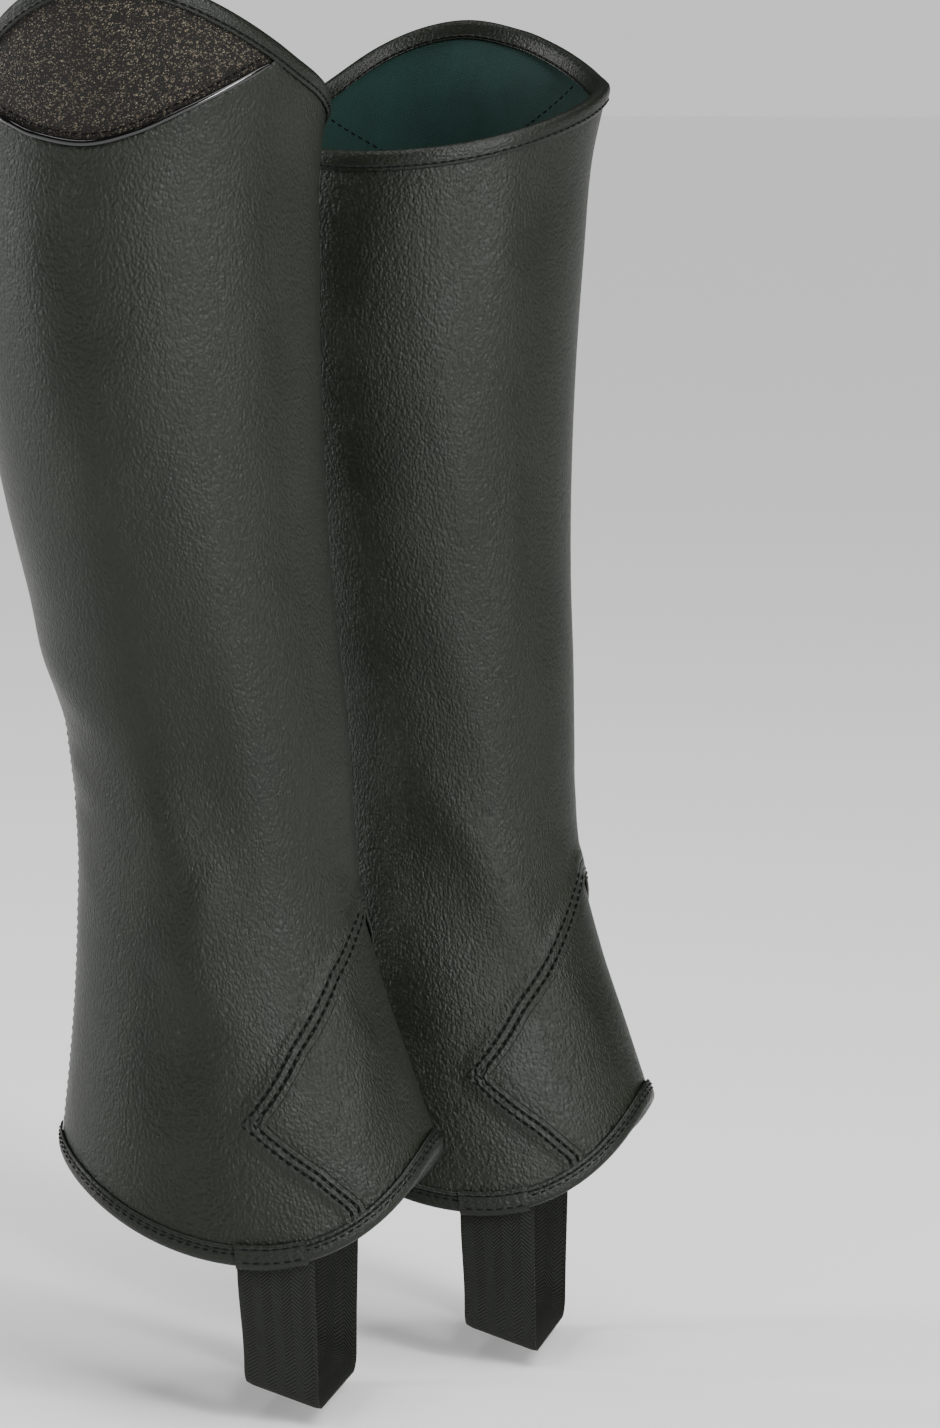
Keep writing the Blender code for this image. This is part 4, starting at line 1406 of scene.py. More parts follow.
@dataclass
class Panels:
    """The leather wrap, the ankle panel, the lens insert, the lining and the zip's tape."""

    chap: Chap
    step: float = 2.6
    column_steps: int = 4
    seam_column_steps: int = 9
    tuck: float = 4.5
    panel_leather: float = 0.9
    dip: float = 0.35
    dip_reach: float = 1.6
    insert_tuck: float = 1.0
    insert_crown: float = 0.35
    raised: float = 0.75
    raised_width: float = 6.6
    raised_fall: float = 3.2
    lens_raised: float = 0.5
    lens_raised_width: float = 3.0
    lens_raised_fall: float = 2.5
    inner_raise: float = 1.25
    inner_most: float = 0.95
    insert_row: float = 3.0
    thread_over: float = 0.05
    thread_sunk: float = 0.14

    def seam_raise(self, distance: np.ndarray) -> np.ndarray:
        """How far the wrap stands up over the ankle panel's turned edge, by distance from the seam."""
        return self.raised * (1 - smooth((distance - self.raised_width) / self.raised_fall))

    def lens_raise(self, distance: np.ndarray) -> np.ndarray:
        """The wrap's turned edge under the piping."""
        return self.lens_raised * (1 - smooth((distance - self.lens_raised_width) / self.lens_raised_fall))

    def columns(self, start: int, end: int, fine: Iterable[int] = ()) -> np.ndarray:
        """Fractional columns, closer together in the named ones.

        Args:
            start: First column.
            end: Last column.
            fine: Columns with closer steps.

        Returns:
            The columns, whole ones included.
        """
        found = [float(start)]
        close = set(fine)
        for column in range(start, end):
            count = self.seam_column_steps if column in close else self.column_steps
            found += [column + (i + 1) / count for i in range(count)]
        return np.array(found)

    def build_wrap(self) -> None:
        """The leather wrap with its cut-outs for the ankle panel and the lens insert."""
        chap, pattern, form = self.chap, self.chap.pattern, self.chap.form
        rows = pattern.fine_rows(0, pattern.top_row, self.step)
        near_seam = (pattern.side_columns - 1, pattern.outer_start)
        columns = self.columns(0, pattern.zip_start, near_seam)
        angle, height = pattern.places(rows[:, None], columns[None, :])
        row_middle = (rows[1:] + rows[:-1]) / 2
        column_middle = (columns[1:] + columns[:-1]) / 2
        kept = np.ones((len(rows) - 1, len(columns) - 1), bool)
        in_front = (column_middle > pattern.side_columns) & (column_middle < pattern.outer_start)
        kept[np.ix_(row_middle < pattern.apex_row, in_front)] = False
        on_side = (column_middle > pattern.outer_start) & (column_middle < pattern.lens_end)
        kept[np.ix_(row_middle > pattern.lens_row, on_side)] = False
        seam = pattern.from_panel_seams(angle, height)
        from_ends = np.minimum(np.abs(angle - angle[:, :1]), np.abs(angle - angle[:, -1:]))
        lens_columns = np.linspace(pattern.outer_start, pattern.lens_end, 60)
        lens_rows = np.full(lens_columns.shape, float(pattern.lens_row))
        lens_seam = SeamPath(*pattern.places(lens_rows, lens_columns))
        lens = lens_seam.distance(form, angle, height)
        outer = LEATHER + self.seam_raise(seam) + self.lens_raise(lens)
        inner = np.minimum(self.seam_raise(seam) * self.inner_raise, self.inner_most)
        edges = np.stack((seam, from_ends * form.per_degree(angle, height), lens), -1)
        made = shell(chap, chap.name("body_wrap"), angle, height, inner, outer, kept, edges)
        chap.finish_piece(made, chap.finishes.leather, Slot.LEATHER, ("body",))
        chap.name("zip_tape")

    def build_ankle_panel(self) -> None:
        """The shield-shaped panel, its side edges tucked under the wrap."""
        chap, pattern, form = self.chap, self.chap.pattern, self.chap.form
        rows = pattern.fine_rows(0, pattern.apex_row, 2.0)
        seam_angle, seam_height = pattern.places(rows, np.full(rows.shape, float(pattern.outer_start)))
        low = form.hem(seam_angle) + EDGE_COVER
        share = (seam_height - low) / (form.lens(seam_angle) - low)
        share = np.append(share, share[-1] + np.array((0.004, 0.009)))
        half = np.append(seam_angle, (1.5, 0.9))
        per = form.per_degree(half, np.append(seam_height, seam_height[-1] + np.array((1.5, 3.5))))
        half = half + self.tuck / per * np.append(np.ones(len(rows)), (0.7, 0.25))
        angle = half[:, None] * np.linspace(-1.0, 1.0, 49)[None, :]
        low = form.hem(angle) + EDGE_COVER
        height = low + (form.lens(angle) - low) * share[:, None]
        inside = np.abs(angle) < np.interp(height, seam_height, seam_angle, right=0.0)
        near_seam = np.exp(-pattern.from_panel_seams(angle, height) / self.dip_reach)
        outer = self.panel_leather - self.dip * np.where(inside, near_seam, 1.0)
        made = shell(chap, chap.name("ankle_panel_cloth"), angle, height, 0.0, outer, rounding=0.1)
        chap.finish_piece(made, chap.finishes.panel, Slot.LEATHER, ("ankle_panel",))
        chap.name("body_wrap")

    def build_lens_insert(self) -> None:
        """The speckled insert between the piping and the top binding."""
        chap, pattern, form = self.chap, self.chap.pattern, self.chap.form
        first, last = pattern.row_ends(pattern.lens_row, pattern.outer_start, pattern.lens_end)
        around_leg = np.linspace(first - self.insert_tuck, last + self.insert_tuck, 71)
        low = form.lens(around_leg) - self.insert_tuck
        high = form.top(around_leg) - EDGE_COVER
        height = low + (high - low) * np.linspace(0.0, 1.0, 25)[:, None]
        angle = np.broadcast_to(around_leg, height.shape)
        lens = line_at(around_leg, form.lens).distance(form, angle, height)
        crown = self.insert_crown * smooth((lens - 1.0) / 4.0)
        made = shell(chap, chap.name("lens_insert_cloth"), angle, height, 0.1, 0.75 + crown, rounding=0.1)
        chap.finish_piece(made, chap.finishes.insert, Slot.INSERT, ("lens_insert",))
        chap.name("body_wrap")

    def build_lining(self) -> None:
        """The lining, which lies inside the wrap and stops at the zip's tape."""
        chap, pattern = self.chap, self.chap.pattern
        rows = pattern.fine_rows(0, pattern.top_row, 4.0)
        columns = self.columns(1, pattern.zip_start - 1)[::2]
        angle, height = pattern.places(rows[:, None], columns[None, :])
        made = shell(
            chap, chap.name("lining_cloth"), angle, height, -LAYER_GAP - LINING, -LAYER_GAP, rounding=0.2
        )
        chap.finish_piece(made, chap.finishes.lining, Slot.LINING, ("lining",))
        chap.name("body_wrap")

    def build_tape(self) -> None:
        """The zip's tape behind the leather's edges."""
        chap, pattern = self.chap, self.chap.pattern
        rows = pattern.fine_rows(0, pattern.top_row, 5.0)
        columns = np.linspace(pattern.zip_start - 1, pattern.zip_end + 1, 17)
        over = np.maximum(columns - pattern.zip_end, 0.0)
        angle, height = pattern.places(rows[:, None], np.minimum(columns, float(pattern.zip_end))[None, :])
        first_angle, first_height = pattern.places(rows[:, None], over[None, :])
        past = (over > 0)[None, :]
        angle = np.where(past, first_angle + 360.0, angle)
        height = np.where(past, first_height, height)
        made = shell(
            chap, chap.name("zip_tape_cloth"), angle, height, -LAYER_GAP - LINING, -LAYER_GAP, rounding=0.2
        )
        chap.finish_piece(made, chap.finishes.tape, Slot.TAPE, ("zip_tape",))
        chap.name("body_wrap")

    def sew(self) -> None:
        """The topstitching: twice along the ankle panel, once by the zip and once on the insert."""
        chap, pattern, form = self.chap, self.chap.pattern, self.chap.form
        thread, parts = Stitching(), MeshParts()
        for sign in (-1.0, 1.0):
            seam = pattern.panel_seam(sign)
            for distance in PANEL_ROWS:
                path = seam.moved(form, -sign * distance)
                over_hem = path.height > form.hem(path.angle) + BINDING_WIDTH
                path = path.where(over_hem & (path.angle * sign > 0.6))
                face = LEATHER + float(self.seam_raise(np.array(distance)))
                thread.sew(parts, *surface_line(form, path, face + self.thread_over))
        rows = np.linspace(0, pattern.top_row, 140)
        for column, sign in ((0.0, 1.0), (float(pattern.zip_start), -1.0)):
            angle, height = pattern.places(rows, np.full(rows.shape, column))
            angle = angle + sign * ZIP_ROW / form.per_degree(angle, height)
            inside = (height > form.hem(angle) + BINDING_WIDTH) & (height < form.top(angle) - BINDING_WIDTH)
            path = SeamPath(angle, height).where(inside)
            thread.sew(parts, *surface_line(form, path, LEATHER - self.thread_sunk))
        around_leg = np.linspace(37.5, 150.0, 120)
        path = SeamPath(around_leg, form.lens(around_leg) + self.insert_row)
        path = path.where(path.height < form.top(around_leg) - BINDING_WIDTH - 0.5)
        thread.sew(parts, *surface_line(form, path, 1.0))
        line, normal = surface_line(form, path, -LAYER_GAP - LINING - THREAD_LIFT)
        thread.sew(parts, line, -normal)
        made = parts.build(chap.name("wrap_stitching"))
        chap.finish_piece(made, chap.finishes.thread, Slot.BINDING)

    def build(self) -> None:
        """Builds and dresses every panel."""
        self.build_wrap()
        self.build_ankle_panel()
        self.build_lens_insert()
        self.build_lining()
        self.build_tape()
        self.sew()


@dataclass
class Trims:
    """The folded bindings, the strap patches and the glossy piping."""

    chap: Chap
    pitch: float = 1.1
    pucker: float = 0.07
    pucker_mm: float = 3.2
    pucker_reach: float = 1.2
    piping_radius: float = 1.2
    piping_ends: tuple[float, float] = (38.4, 147.0)
    piping_end_share: float = 0.45
    strap_angles: tuple[float, float] = (69.5, 89.0)
    top_rows: tuple[float, ...] = (5.6,)
    hem_rows: tuple[float, ...] = (5.6, 4.2)
    patch_inset: float = 1.4
    outside: float = LEATHER + LAYER_GAP
    inside: float = -LINING - 2 * LAYER_GAP

    def binding_profile(self) -> np.ndarray:
        """The folded binding's closed profile as (offset, distance in from its edge, edge distance)."""
        outside, inside, width = self.outside, self.inside, BINDING_WIDTH
        outer, inner = outside + BINDING, inside - BINDING
        return np.array((
            (outside, width, 0.0), (outside + 0.15, width + 0.1, 0.0), (outer - 0.25, width, 0.1),
            (outer - 0.02, width - 0.5, 0.6), (outer - 0.06, width - 1.4, 1.4), (outer + 0.02, width - 2.4, 2.4),
            (outer + 0.1, width - 4.0, 4.0), (outer, 1.9, 5.4), (outer - 0.45, 0.8, 6.3), (outer - 1.2, 0.15, 7.2),
            ((outer + inner) / 2, 0.0, 8.0), (inner + 1.2, 0.15, 7.2), (inner + 0.45, 0.8, 6.3), (inner, 1.9, 5.4),
            (inner, width - 2.4, 2.4), (inner, width - 0.5, 0.6), (inside, width, 0.0), (inside, 1.3, FAR),
            (outside, 1.3, FAR),
        ))

    def patch_profile(self) -> np.ndarray:
        """The folded patch's closed profile, in the same terms as the binding's."""
        over, under = self.outside + BINDING + LAYER_GAP, -LINING - LAYER_GAP
        face, width = over + PATCH_THICKNESS, BINDING_WIDTH + PATCH_LAP
        return np.array((
            (over, width, 0.0), (face - 0.2, width + 0.05, 0.1), (face, width - 0.5, 0.6),
            (face - 0.05, width - 1.4, 1.4), (face + 0.05, 4.0, 3.6), (face, 1.6, 1.4),
            (face - 0.4, 0.3, 0.5), (over - 0.6, -0.75, FAR), (over - 1.6, -0.9, FAR), (under, -0.9, FAR),
            (under, -0.2, FAR), (over - 1.0, -0.2, FAR), (over - 0.3, 0.5, FAR), (over, 1.3, FAR),
        ))

    def sweep(
        self,
        name: str,
        angles: np.ndarray,
        line: Callable[[np.ndarray], np.ndarray],
        inwards: float,
        profile: np.ndarray,
    ) -> bpy.types.Object:
        """Sweeps a folded trim's profile along an edge.

        Args:
            name: The piece's full name.
            angles: Angles that it passes through.
            line: Height of the edge at each angle.
            inwards: 1 where the piece lies above the edge, -1 where below.
            profile: Rows of offset, distance in from the edge and edge distance.

        Returns:
            The object.
        """
        form = self.chap.form
        base = line(angles)
        runs = np.hypot(np.diff(angles) * form.per_degree(angles, base)[1:], np.diff(base))
        travelled = np.concatenate(([0.0], np.cumsum(runs)))[:, None]
        offset, reach, edge = profile.T
        pucker = self.pucker * np.cos(2 * np.pi * travelled / self.pucker_mm)
        offset = offset + pucker * np.exp(-((edge - TRIM_ROW) ** 2) / self.pucker_reach)
        height = base[:, None] + inwards * reach
        points = form.points(np.broadcast_to(angles[:, None], height.shape), height, offset)
        pattern = np.stack(np.broadcast_arrays(reach, travelled, offset), -1)
        edges = np.full(points.shape, FAR)
        edges[..., 2] = edge
        parts = MeshParts()
        tube(parts, points, pattern, edges)
        return parts.build(name, flip=(self.chap.leg.sign * inwards) > 0, sharp_over=60.0)

    def build_binding(
        self, name: str, row: int, line: Callable[[np.ndarray], np.ndarray], inwards: float
    ) -> None:
        """One of the two folded bindings, from one side of the zip round to the other.

        Args:
            name: The node that it stands for, without the side.
            row: The pattern's row at that edge.
            line: Height of the edge at each angle.
            inwards: 1 where the binding lies above the edge, -1 where below.
        """
        chap, pattern = self.chap, self.chap.pattern
        first, last = pattern.row_ends(row, 0, pattern.zip_start)
        angles = np.linspace(first, last, int((last - first) / self.pitch))
        made = self.sweep(chap.name(f"{name}_fold"), angles, line, inwards, self.binding_profile())
        chap.finish_piece(made, chap.finishes.binding, Slot.BINDING, (name,))
        chap.name("body_wrap")

    def patch_ends(self) -> tuple[tuple[str, float, float], ...]:
        """Each patch's label and its first and last angle."""
        low, high = self.strap_angles
        return (("outer", low, high), ("inner", -high, -low))

    def build_patches(self) -> None:
        """The short bindings over the strap's two ends."""
        chap = self.chap
        for label, first, last in self.patch_ends():
            angles = np.linspace(first, last, 26)
            name = chap.name(f"strap_patch_{label}_fold")
            made = self.sweep(name, angles, chap.form.hem, 1.0, self.patch_profile())
            chap.finish_piece(made, chap.finishes.binding, Slot.BINDING, (f"strap_patch_{label}",))
            chap.name("hem_binding_fold")

    def build_piping(self) -> None:
        """The glossy cord along the seam under the lens insert, thinner where it runs under the binding."""
        chap, form = self.chap, self.chap.form
        angles = np.linspace(*self.piping_ends, 130)
        share = np.linspace(0, 1, len(angles))
        full = smooth(np.minimum(share, 1 - share) / 0.05)
        radius = self.piping_radius * (self.piping_end_share + (1 - self.piping_end_share) * full)[:, None]
        turns = np.linspace(0, 2 * np.pi, 12, endpoint=False)
        height = form.lens(angles)[:, None] + radius * np.cos(turns)
        offset = self.outside + self.piping_radius * 0.8 + radius * np.sin(turns)
        angle = np.broadcast_to(angles[:, None], height.shape)
        parts = MeshParts()
        tube(parts, form.points(angle, height, offset), np.stack((height, angle, offset), -1))
        made = parts.build(chap.name("lens_piping_cord"), flip=chap.leg.sign < 0)
        chap.finish_piece(made, chap.finishes.patent, Slot.PATENT, ("lens_piping",))

    def sew(self) -> None:
        """The stitch rows of the bindings and patches."""
        chap, pattern, form = self.chap, self.chap.pattern, self.chap.form
        thread, parts = Stitching(), MeshParts()
        face = self.outside + BINDING + THREAD_LIFT
        rows = ((pattern.top_row, form.top, -1.0, self.top_rows), (0, form.hem, 1.0, self.hem_rows))
        for row, line, inwards, reaches in rows:
            first, last = pattern.row_ends(row, 0, pattern.zip_start)
            angles = np.linspace(first + 1.0, last - 1.0, 300)
            for reach in reaches:
                path = SeamPath(angles, line(angles) + inwards * reach)
                for offset in (face, self.inside - BINDING - THREAD_LIFT):
                    points, normal = surface_line(form, path, offset)
                    thread.sew(parts, points, normal if offset > 0 else -normal)
        over = face + LAYER_GAP + PATCH_THICKNESS
        width = BINDING_WIDTH + PATCH_LAP
        for _, first, last in self.patch_ends():
            sides = (first + self.patch_inset, last - self.patch_inset)
            for reach in (1.8, width - self.patch_inset):
                angles = np.linspace(*sides, 30)
                thread.sew(parts, *surface_line(form, SeamPath(angles, form.hem(angles) + reach), over))
            for angle in sides:
                heights = np.linspace(2.2, width - 1.8, 12) + float(form.hem(angle))
                thread.sew(parts, *surface_line(form, SeamPath(np.full(12, angle), heights), over))
        made = parts.build(chap.name("trim_stitching"))
        chap.finish_piece(made, chap.finishes.thread, Slot.BINDING)

    def build(self) -> None:
        """Builds and dresses every trim."""
        pattern, form = self.chap.pattern, self.chap.form
        self.build_binding("top_binding", pattern.top_row, form.top, -1.0)
        self.build_binding("hem_binding", 0, form.hem, 1.0)
        self.build_patches()
        self.build_piping()
        self.sew()


@dataclass
class FootStrap:
    """The elastic that goes down from inside the hem and under the foot."""

    chap: Chap
    rear: float = 14.5
    front: float = 39.5
    thickness: float = 1.5
    tuck: float = 14.0
    sole_half: float = 34.0
    corner: float = 7.0
    drop_rear: float = 45.2
    drop_front: float = 53.5
    rounding: float = 0.4

    def angle_at(self, side: float, ahead: float, height: float, offset: float) -> float:
        """The angle at which the cloth, moved by an offset, lies this far ahead of the leg's middle.

        Args:
            side: 1 on the outer side, -1 on the inner side.
            ahead: The distance ahead.
            height: The height over the hem.
            offset: How far the cloth is moved out.

        Returns:
            The angle.
        """
        low, high = 0.0, 180.0
        for _ in range(24):
            middle = (low + high) / 2
            point = self.chap.form.points(side * middle, height, offset)
            if -float(point[1]) / MM - self.chap.leg.ahead > ahead:
                low = middle
            else:
                high = middle
        return side * (low + high) / 2

    def half_path(self, side: float, ahead: float, drop: float) -> list[tuple[float, float]]:
        """One side of the outer face, from its end inside the hem to under the foot.

        Args:
            side: 1 on the outer side, -1 on the inner side.
            ahead: How far ahead of the leg's middle this line of the strap lies.
            drop: How far under the mean hem it passes under the foot.

        Returns:
            Points as distance out and height.
        """
        form, leg = self.chap.form, self.chap.leg
        offset = -LINING - BINDING - 3 * LAYER_GAP
        hem = float(form.hem(self.angle_at(side, ahead, HEM_LOW, offset)))
        path = []
        for share in np.linspace(1.0, 0.0, 6):
            height = hem + self.tuck * share
            point = form.points(self.angle_at(side, ahead, height, offset), height, offset)
            path.append((leg.sign * float(point[0]) / MM - leg.across - leg.lean_out * height, height))
        start, turn_height = abs(path[-1][0]), self.corner - drop
        for share in np.linspace(0, 1, 16)[1:-1]:
            out = start + (self.sole_half - start) * float(smooth(share))
            path.append((side * out, hem + (turn_height - hem) * share))
        for turn in np.linspace(0, math.pi / 2, 9):
            out = self.sole_half - self.corner * (1 - math.cos(turn))
            path.append((side * out, turn_height - self.corner * math.sin(turn)))
        return path

    def build(self) -> None:
        """Builds the elastic with rounded selvedges and gives it its weave."""
        chap = self.chap
        shares = np.linspace(0.0, 1.0, 13)
        rows = []
        for share in shares:
            ahead = self.rear + (self.front - self.rear) * share
            drop = self.drop_rear + (self.drop_front - self.drop_rear) * share
            left, right = self.half_path(-1, ahead, drop), self.half_path(1, ahead, drop)
            flat = [(out, right[-1][1]) for out in np.linspace(left[-1][0], right[-1][0], 12)[1:-1]]
            rows.append(left + flat + right[::-1])
        paths = np.array(rows)
        run = np.gradient(paths, axis=1)
        run /= np.linalg.norm(run, axis=-1, keepdims=True)
        side = np.stack((-run[..., 1], run[..., 0]), -1)
        inner = paths + side * self.thickness
        edge = (np.abs(shares * 2 - 1) > 0.99)[:, None, None] * side * self.rounding
        ahead = self.rear + (self.front - self.rear) * shares
        ring = list(zip(paths + edge, ahead)) + list(zip(inner - edge, ahead))[::-1]
        points = np.stack([chap.form.place(row[:, 0], where, row[:, 1]) for row, where in ring], 1)
        middle_line = paths[len(shares) // 2]
        travelled = np.concatenate(([0.0], np.cumsum(np.linalg.norm(np.diff(middle_line, axis=0), axis=1))))
        pattern = np.zeros(points.shape)
        pattern[..., 0] = np.concatenate((ahead, ahead[::-1]))
        pattern[..., 1] = travelled[:, None]
        parts = MeshParts()
        tube(parts, points, pattern)
        made = parts.build(chap.name("foot_strap_elastic"), flip=chap.leg.sign > 0, sharp_over=70.0)
        chap.finish_piece(made, chap.finishes.elastic, Slot.ELASTIC, ("foot_strap",))
        chap.name("hem_binding_fold")


@dataclass
class BackZip:
    """The zip down the back: its coil, slider and pull."""

    chap: Chap
    coil_pitch: float = 1.9
    slider_length: float = 13.0
    slider_width: float = 8.4
    plate: float = 1.8
    bridge_room: float = 2.8
    bridge_half: float = 1.3
    bridge_bar: float = 1.2
    bridge_reach: float = 4.2
    pull_half: float = 0.7
    window_half: float = 1.9

    # half width, up from the hinge: the pull from its head down, its window between the third and fourth rows
    pull_rows: tuple[tuple[float, float], ...] = (
        (2.6, 0.8), (3.2, 0.3), (3.2, -0.8), (3.2, -6.2), (2.9, -7.8), (3.5, -11.2), (3.9, -18.0), (4.2, -24.0),
        (3.7, -26.1), (2.4, -27.0),
    )
    window_row: int = 2

    # across from the middle, rise over the tape, thickness: one loop of the coil from its tip to the tape
    loop: tuple[tuple[float, float, float], ...] = (
        (-0.75, 0.35, 0.35), (-0.06, 0.85, 0.55), (0.63, 1.15, 0.5), (1.32, 1.15, 0.45), (2.01, 0.85, 0.45),
        (2.7, 0.15, 0.35),
    )

    def origin(self) -> Vector:
        """The pull's hinge axis."""
        point = self.chap.form.points(180.0, ZIP_TOP, 1.7 + LAYER_GAP + self.plate)
        return Vector(point) + Vector((0.0, self.bridge_room / 2 * MM, 0.0))

    def build_coil(self) -> None:
        """The closed coil: loops of nylon from both tapes that mesh in the middle."""
        chap, form = self.chap, self.chap.form
        low = float(form.hem(180.0)) + EDGE_COVER + 0.5
        heights = np.arange(low, ZIP_TOP - 5.0, self.coil_pitch)
        across, rise, radius = np.array(self.loop).T[:, :, None]
        turns = np.linspace(0, 2 * np.pi, 6, endpoint=False)
        offset = 0.12 + rise * 0.42 + radius * np.sin(turns) * 0.8
        parts = MeshParts()
        for sign in (-1.0, 1.0):
            for height in heights + (self.coil_pitch / 2 if sign > 0 else 0.0):
                angle = 180.0 + across * sign / float(form.per_degree(180.0, height)) + 0 * turns
                tube(parts, form.points(angle, height + radius * np.cos(turns) * 0.9, offset))
        made = parts.build(chap.name("zip_coil"))
        chap.finish_piece(made, chap.finishes.coil, Slot.METAL, ("zip_chain",))

    def plate_outline(self) -> np.ndarray:
        """The slider's outline as (across, up): wide at the shoulders, waisted, with a flat foot."""
        half, width = self.slider_length / 2, self.slider_width / 2
        right = (
            (0.0, half), (0.45, half - 0.1), (0.78, half - 0.7), (1.0, half - 2.2), (1.0, half - 4.0),
            (0.86, -0.6), (0.78, 0.8 - half), (0.7, 0.2 - half), (0.4, -half), (0.0, -half),
        )
        rows = [(x * width, y) for x, y in right]
        return np.array(rows + [(-x, y) for x, y in reversed(rows[1:-1])])

    def plates(self) -> np.ndarray:
        """The slider's plate as rings with softened rims, as (across, back, up) from the hinge."""
        near, far = -self.bridge_room / 2 - self.plate, -self.bridge_room / 2
        rims = ((0.9, near), (1.0, near + 0.25), (1.0, far - 0.35), (0.88, far))
        outline = self.plate_outline()
        return np.array([[(x * share, back, y * share) for x, y in outline] for share, back in rims])

    def bridge(self) -> np.ndarray:
        """The arch over the plate that holds the pull, as rings of (across, back, up) from the hinge."""
        turns = np.linspace(0, math.pi, 13)
        foot, rise = -self.bridge_room / 2 - 0.3, self.bridge_room + self.bridge_bar / 2 + 0.1
        lift = foot + rise * np.minimum(1.0, np.sin(turns) * 1.7)
        path = np.stack((self.bridge_reach * np.cos(turns), lift), -1)
        run = np.vstack((path[1:], path[-1:])) - np.vstack((path[:1], path[:-1]))
        run /= np.linalg.norm(run, axis=1, keepdims=True)
        half, bar = self.bridge_half, self.bridge_bar
        section = ((-1, -0.5), (-1, 0.35), (-0.7, 0.5), (0.7, 0.5), (1, 0.35), (1, -0.5))
        return np.array([
            [(across * half, back - ahead * out * bar, up + over * out * bar) for across, out in section]
            for (up, back), (ahead, over) in zip(path, run)
        ])

    def build_slider(self) -> None:
        """The slider: its plate, and the bridge that holds the pull."""
        chap, origin = self.chap, np.array(self.origin())
        parts = MeshParts()
        for rings in (self.plates(), self.bridge()):
            tube(parts, rings * MM + origin)
        made = parts.build(chap.name("zip_slider_body"), sharp_over=35.0)
        chap.finish_piece(made, chap.finishes.zinc, Slot.METAL, ("zip_slider",))

    def build_pull(self) -> None:
        """The pull: a flat tab with a window over the bridge, its rims softened."""
        chap, origin = self.chap, np.array(self.origin())
        inner = [min(self.window_half, half - 1.0) for half, _ in self.pull_rows]
        across = np.array([(-half, -part, part, half) for (half, _), part in zip(self.pull_rows, inner)])
        up = np.broadcast_to(np.array(self.pull_rows)[:, 1:], across.shape)
        kept = np.ones((len(across) - 1, 3), bool)
        kept[self.window_row, 1] = False
        parts = MeshParts()
        layers = []
        for back in (self.pull_half, -self.pull_half):
            layers.append(parts.add(np.stack((across, np.full(across.shape, back), up), -1) * MM + origin))
        close_wall(parts, grid_quads(4, kept), layers)
        made = parts.build(chap.name("zip_pull_tab"), flip=True, sharp_over=35.0)
        bevel = made.modifiers.new("softened rims", "BEVEL")
        bevel.width = 0.25 * MM
        bevel.segments = 3
        bevel.limit_method = "ANGLE"
        chap.finish_piece(made, chap.finishes.zinc, Slot.METAL, ("zip_pull",), chap.name("pull"))

    def build(self) -> None:
        """Builds and dresses the zip."""
        self.build_coil()
        self.build_slider()
        self.build_pull()


